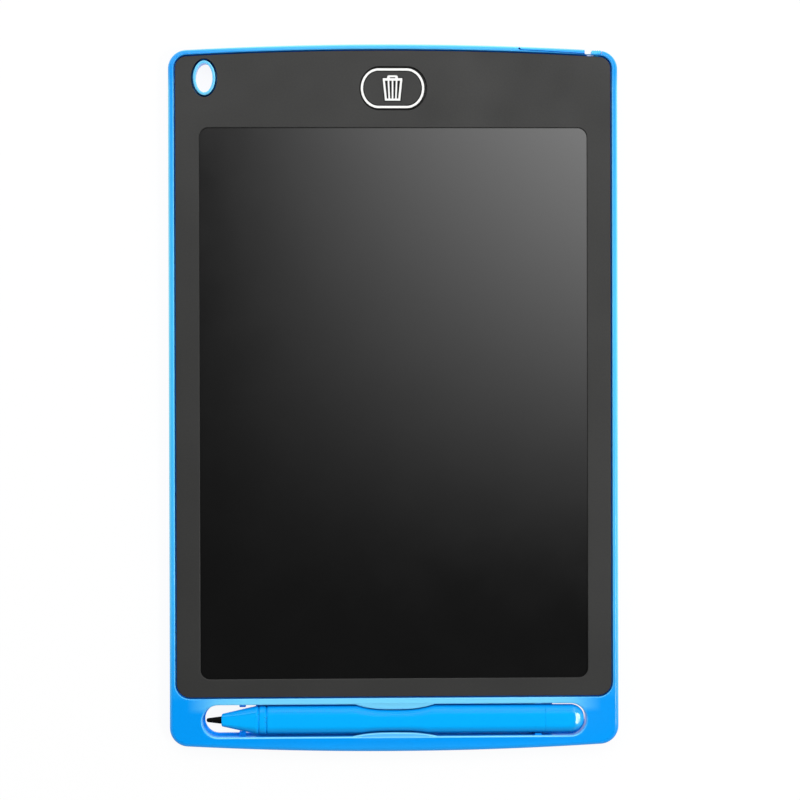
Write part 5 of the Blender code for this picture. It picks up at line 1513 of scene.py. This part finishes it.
def lamps():
    """A wide softbox past the head end, and a small one on the right that puts a glint on the tail."""
    for name, compass, height, width, tall, power in LAMPS:
        light = bpy.data.lights.new(name, "AREA")
        light.shape = "RECTANGLE"
        light.size = width
        light.size_y = tall
        light.energy = power
        lamp = bpy.data.objects.new(name, light)
        turn = Matrix.Rotation(math.radians(compass), 4, "Z")
        rise = Matrix.Rotation(-math.radians(height), 4, "Y")
        lamp.location = turn @ rise @ Vector((LAMP_DISTANCE, 0, 0))
        lamp.rotation_euler = (-lamp.location).to_track_quat("-Z", "Y").to_euler()
        bpy.context.scene.collection.objects.link(lamp)


def studio_floor():
    """A pale floor that keeps a soft shadow, and that is clear when seen from beneath."""
    mesh = bmesh.new()
    bmesh.ops.create_circle(mesh, cap_ends=True, segments=FLOOR_CORNERS, radius=FLOOR_REACH)
    data = bpy.data.meshes.new("studio_floor")
    mesh.to_mesh(data)
    mesh.free()
    ground = bpy.data.objects.new("studio_floor", data)
    bpy.context.scene.collection.objects.link(ground)
    ground.location.z = -FLOOR_DROP
    ground.visible_diffuse = False
    ground.visible_glossy = False

    made = bpy.data.materials.new("pale_floor")
    made.use_nodes = True
    nodes, links = made.node_tree.nodes, made.node_tree.links
    nodes.clear()
    output = nodes.new("ShaderNodeOutputMaterial")
    matt = nodes.new("ShaderNodeBsdfDiffuse")
    matt.inputs["Color"].default_value = FLOOR_TONE
    glow = nodes.new("ShaderNodeEmission")
    glow.inputs["Strength"].default_value = 1
    lit = nodes.new("ShaderNodeMixShader")
    lit.inputs["Fac"].default_value = FLOOR_GLOW
    clear = nodes.new("ShaderNodeBsdfTransparent")
    side = nodes.new("ShaderNodeNewGeometry")
    final = nodes.new("ShaderNodeMixShader")
    links.new(matt.outputs["BSDF"], lit.inputs[1])
    links.new(glow.outputs["Emission"], lit.inputs[2])
    links.new(side.outputs["Backfacing"], final.inputs["Fac"])
    links.new(lit.outputs["Shader"], final.inputs[1])
    links.new(clear.outputs["BSDF"], final.inputs[2])
    links.new(final.outputs["Shader"], output.inputs["Surface"])
    data.materials.append(made)


def camera():
    """The photograph's view."""
    lens = bpy.data.cameras.new("photo_view")
    lens.sensor_width = SENSOR
    lens.lens = CAMERA_LENS
    lens.clip_start = CLIP_START
    view = bpy.data.objects.new("photo_view", lens)
    view.location = CAMERA_PLACE
    view.rotation_euler = CAMERA_TURN
    bpy.context.scene.collection.objects.link(view)
    bpy.context.scene.camera = view


def finish_node(name, material):
    """Give a carried-over node its finish."""
    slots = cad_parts[name].data.materials
    slots.clear()
    slots.append(material)


def main():
    """Dress the tablet and set up its studio."""
    finishes = {name: moulded(name, *values) for name, values in FINISHES.items()}
    for name, (label, value) in PLAIN_VALUES.items():
        polish(finishes[name], label, value)
    blue = finishes["glossy_blue_plastic"]
    pen_blue = finishes["stylus_blue_plastic"]
    dark = finishes["dark_grained_plastic"]
    # Painted highlights on the case's blue plastic
    paint_edge_highlights(blue)
    # Painted shade on the stylus' sides
    paint_stylus_shade_and_tail_shine(pen_blue)

    rear_shell(blue)
    front_frame(dark)
    erase_key(dark, finishes["white_ink"], finishes["dark_ground_ink"])
    lock_lever(finishes["slider_blue_plastic"])
    battery_door(blue)
    stylus_nib(finishes["nib_plastic"])
    stylus_nose(pen_blue)
    stylus_barrel(pen_blue)
    stylus_tail(pen_blue)
    for node, name in NODE_FINISHES.items():
        finish_node(node, finishes[name])

    world_light()
    lamps()
    studio_floor()
    camera()
    bpy.context.scene.view_settings.view_transform = "Standard"


main()
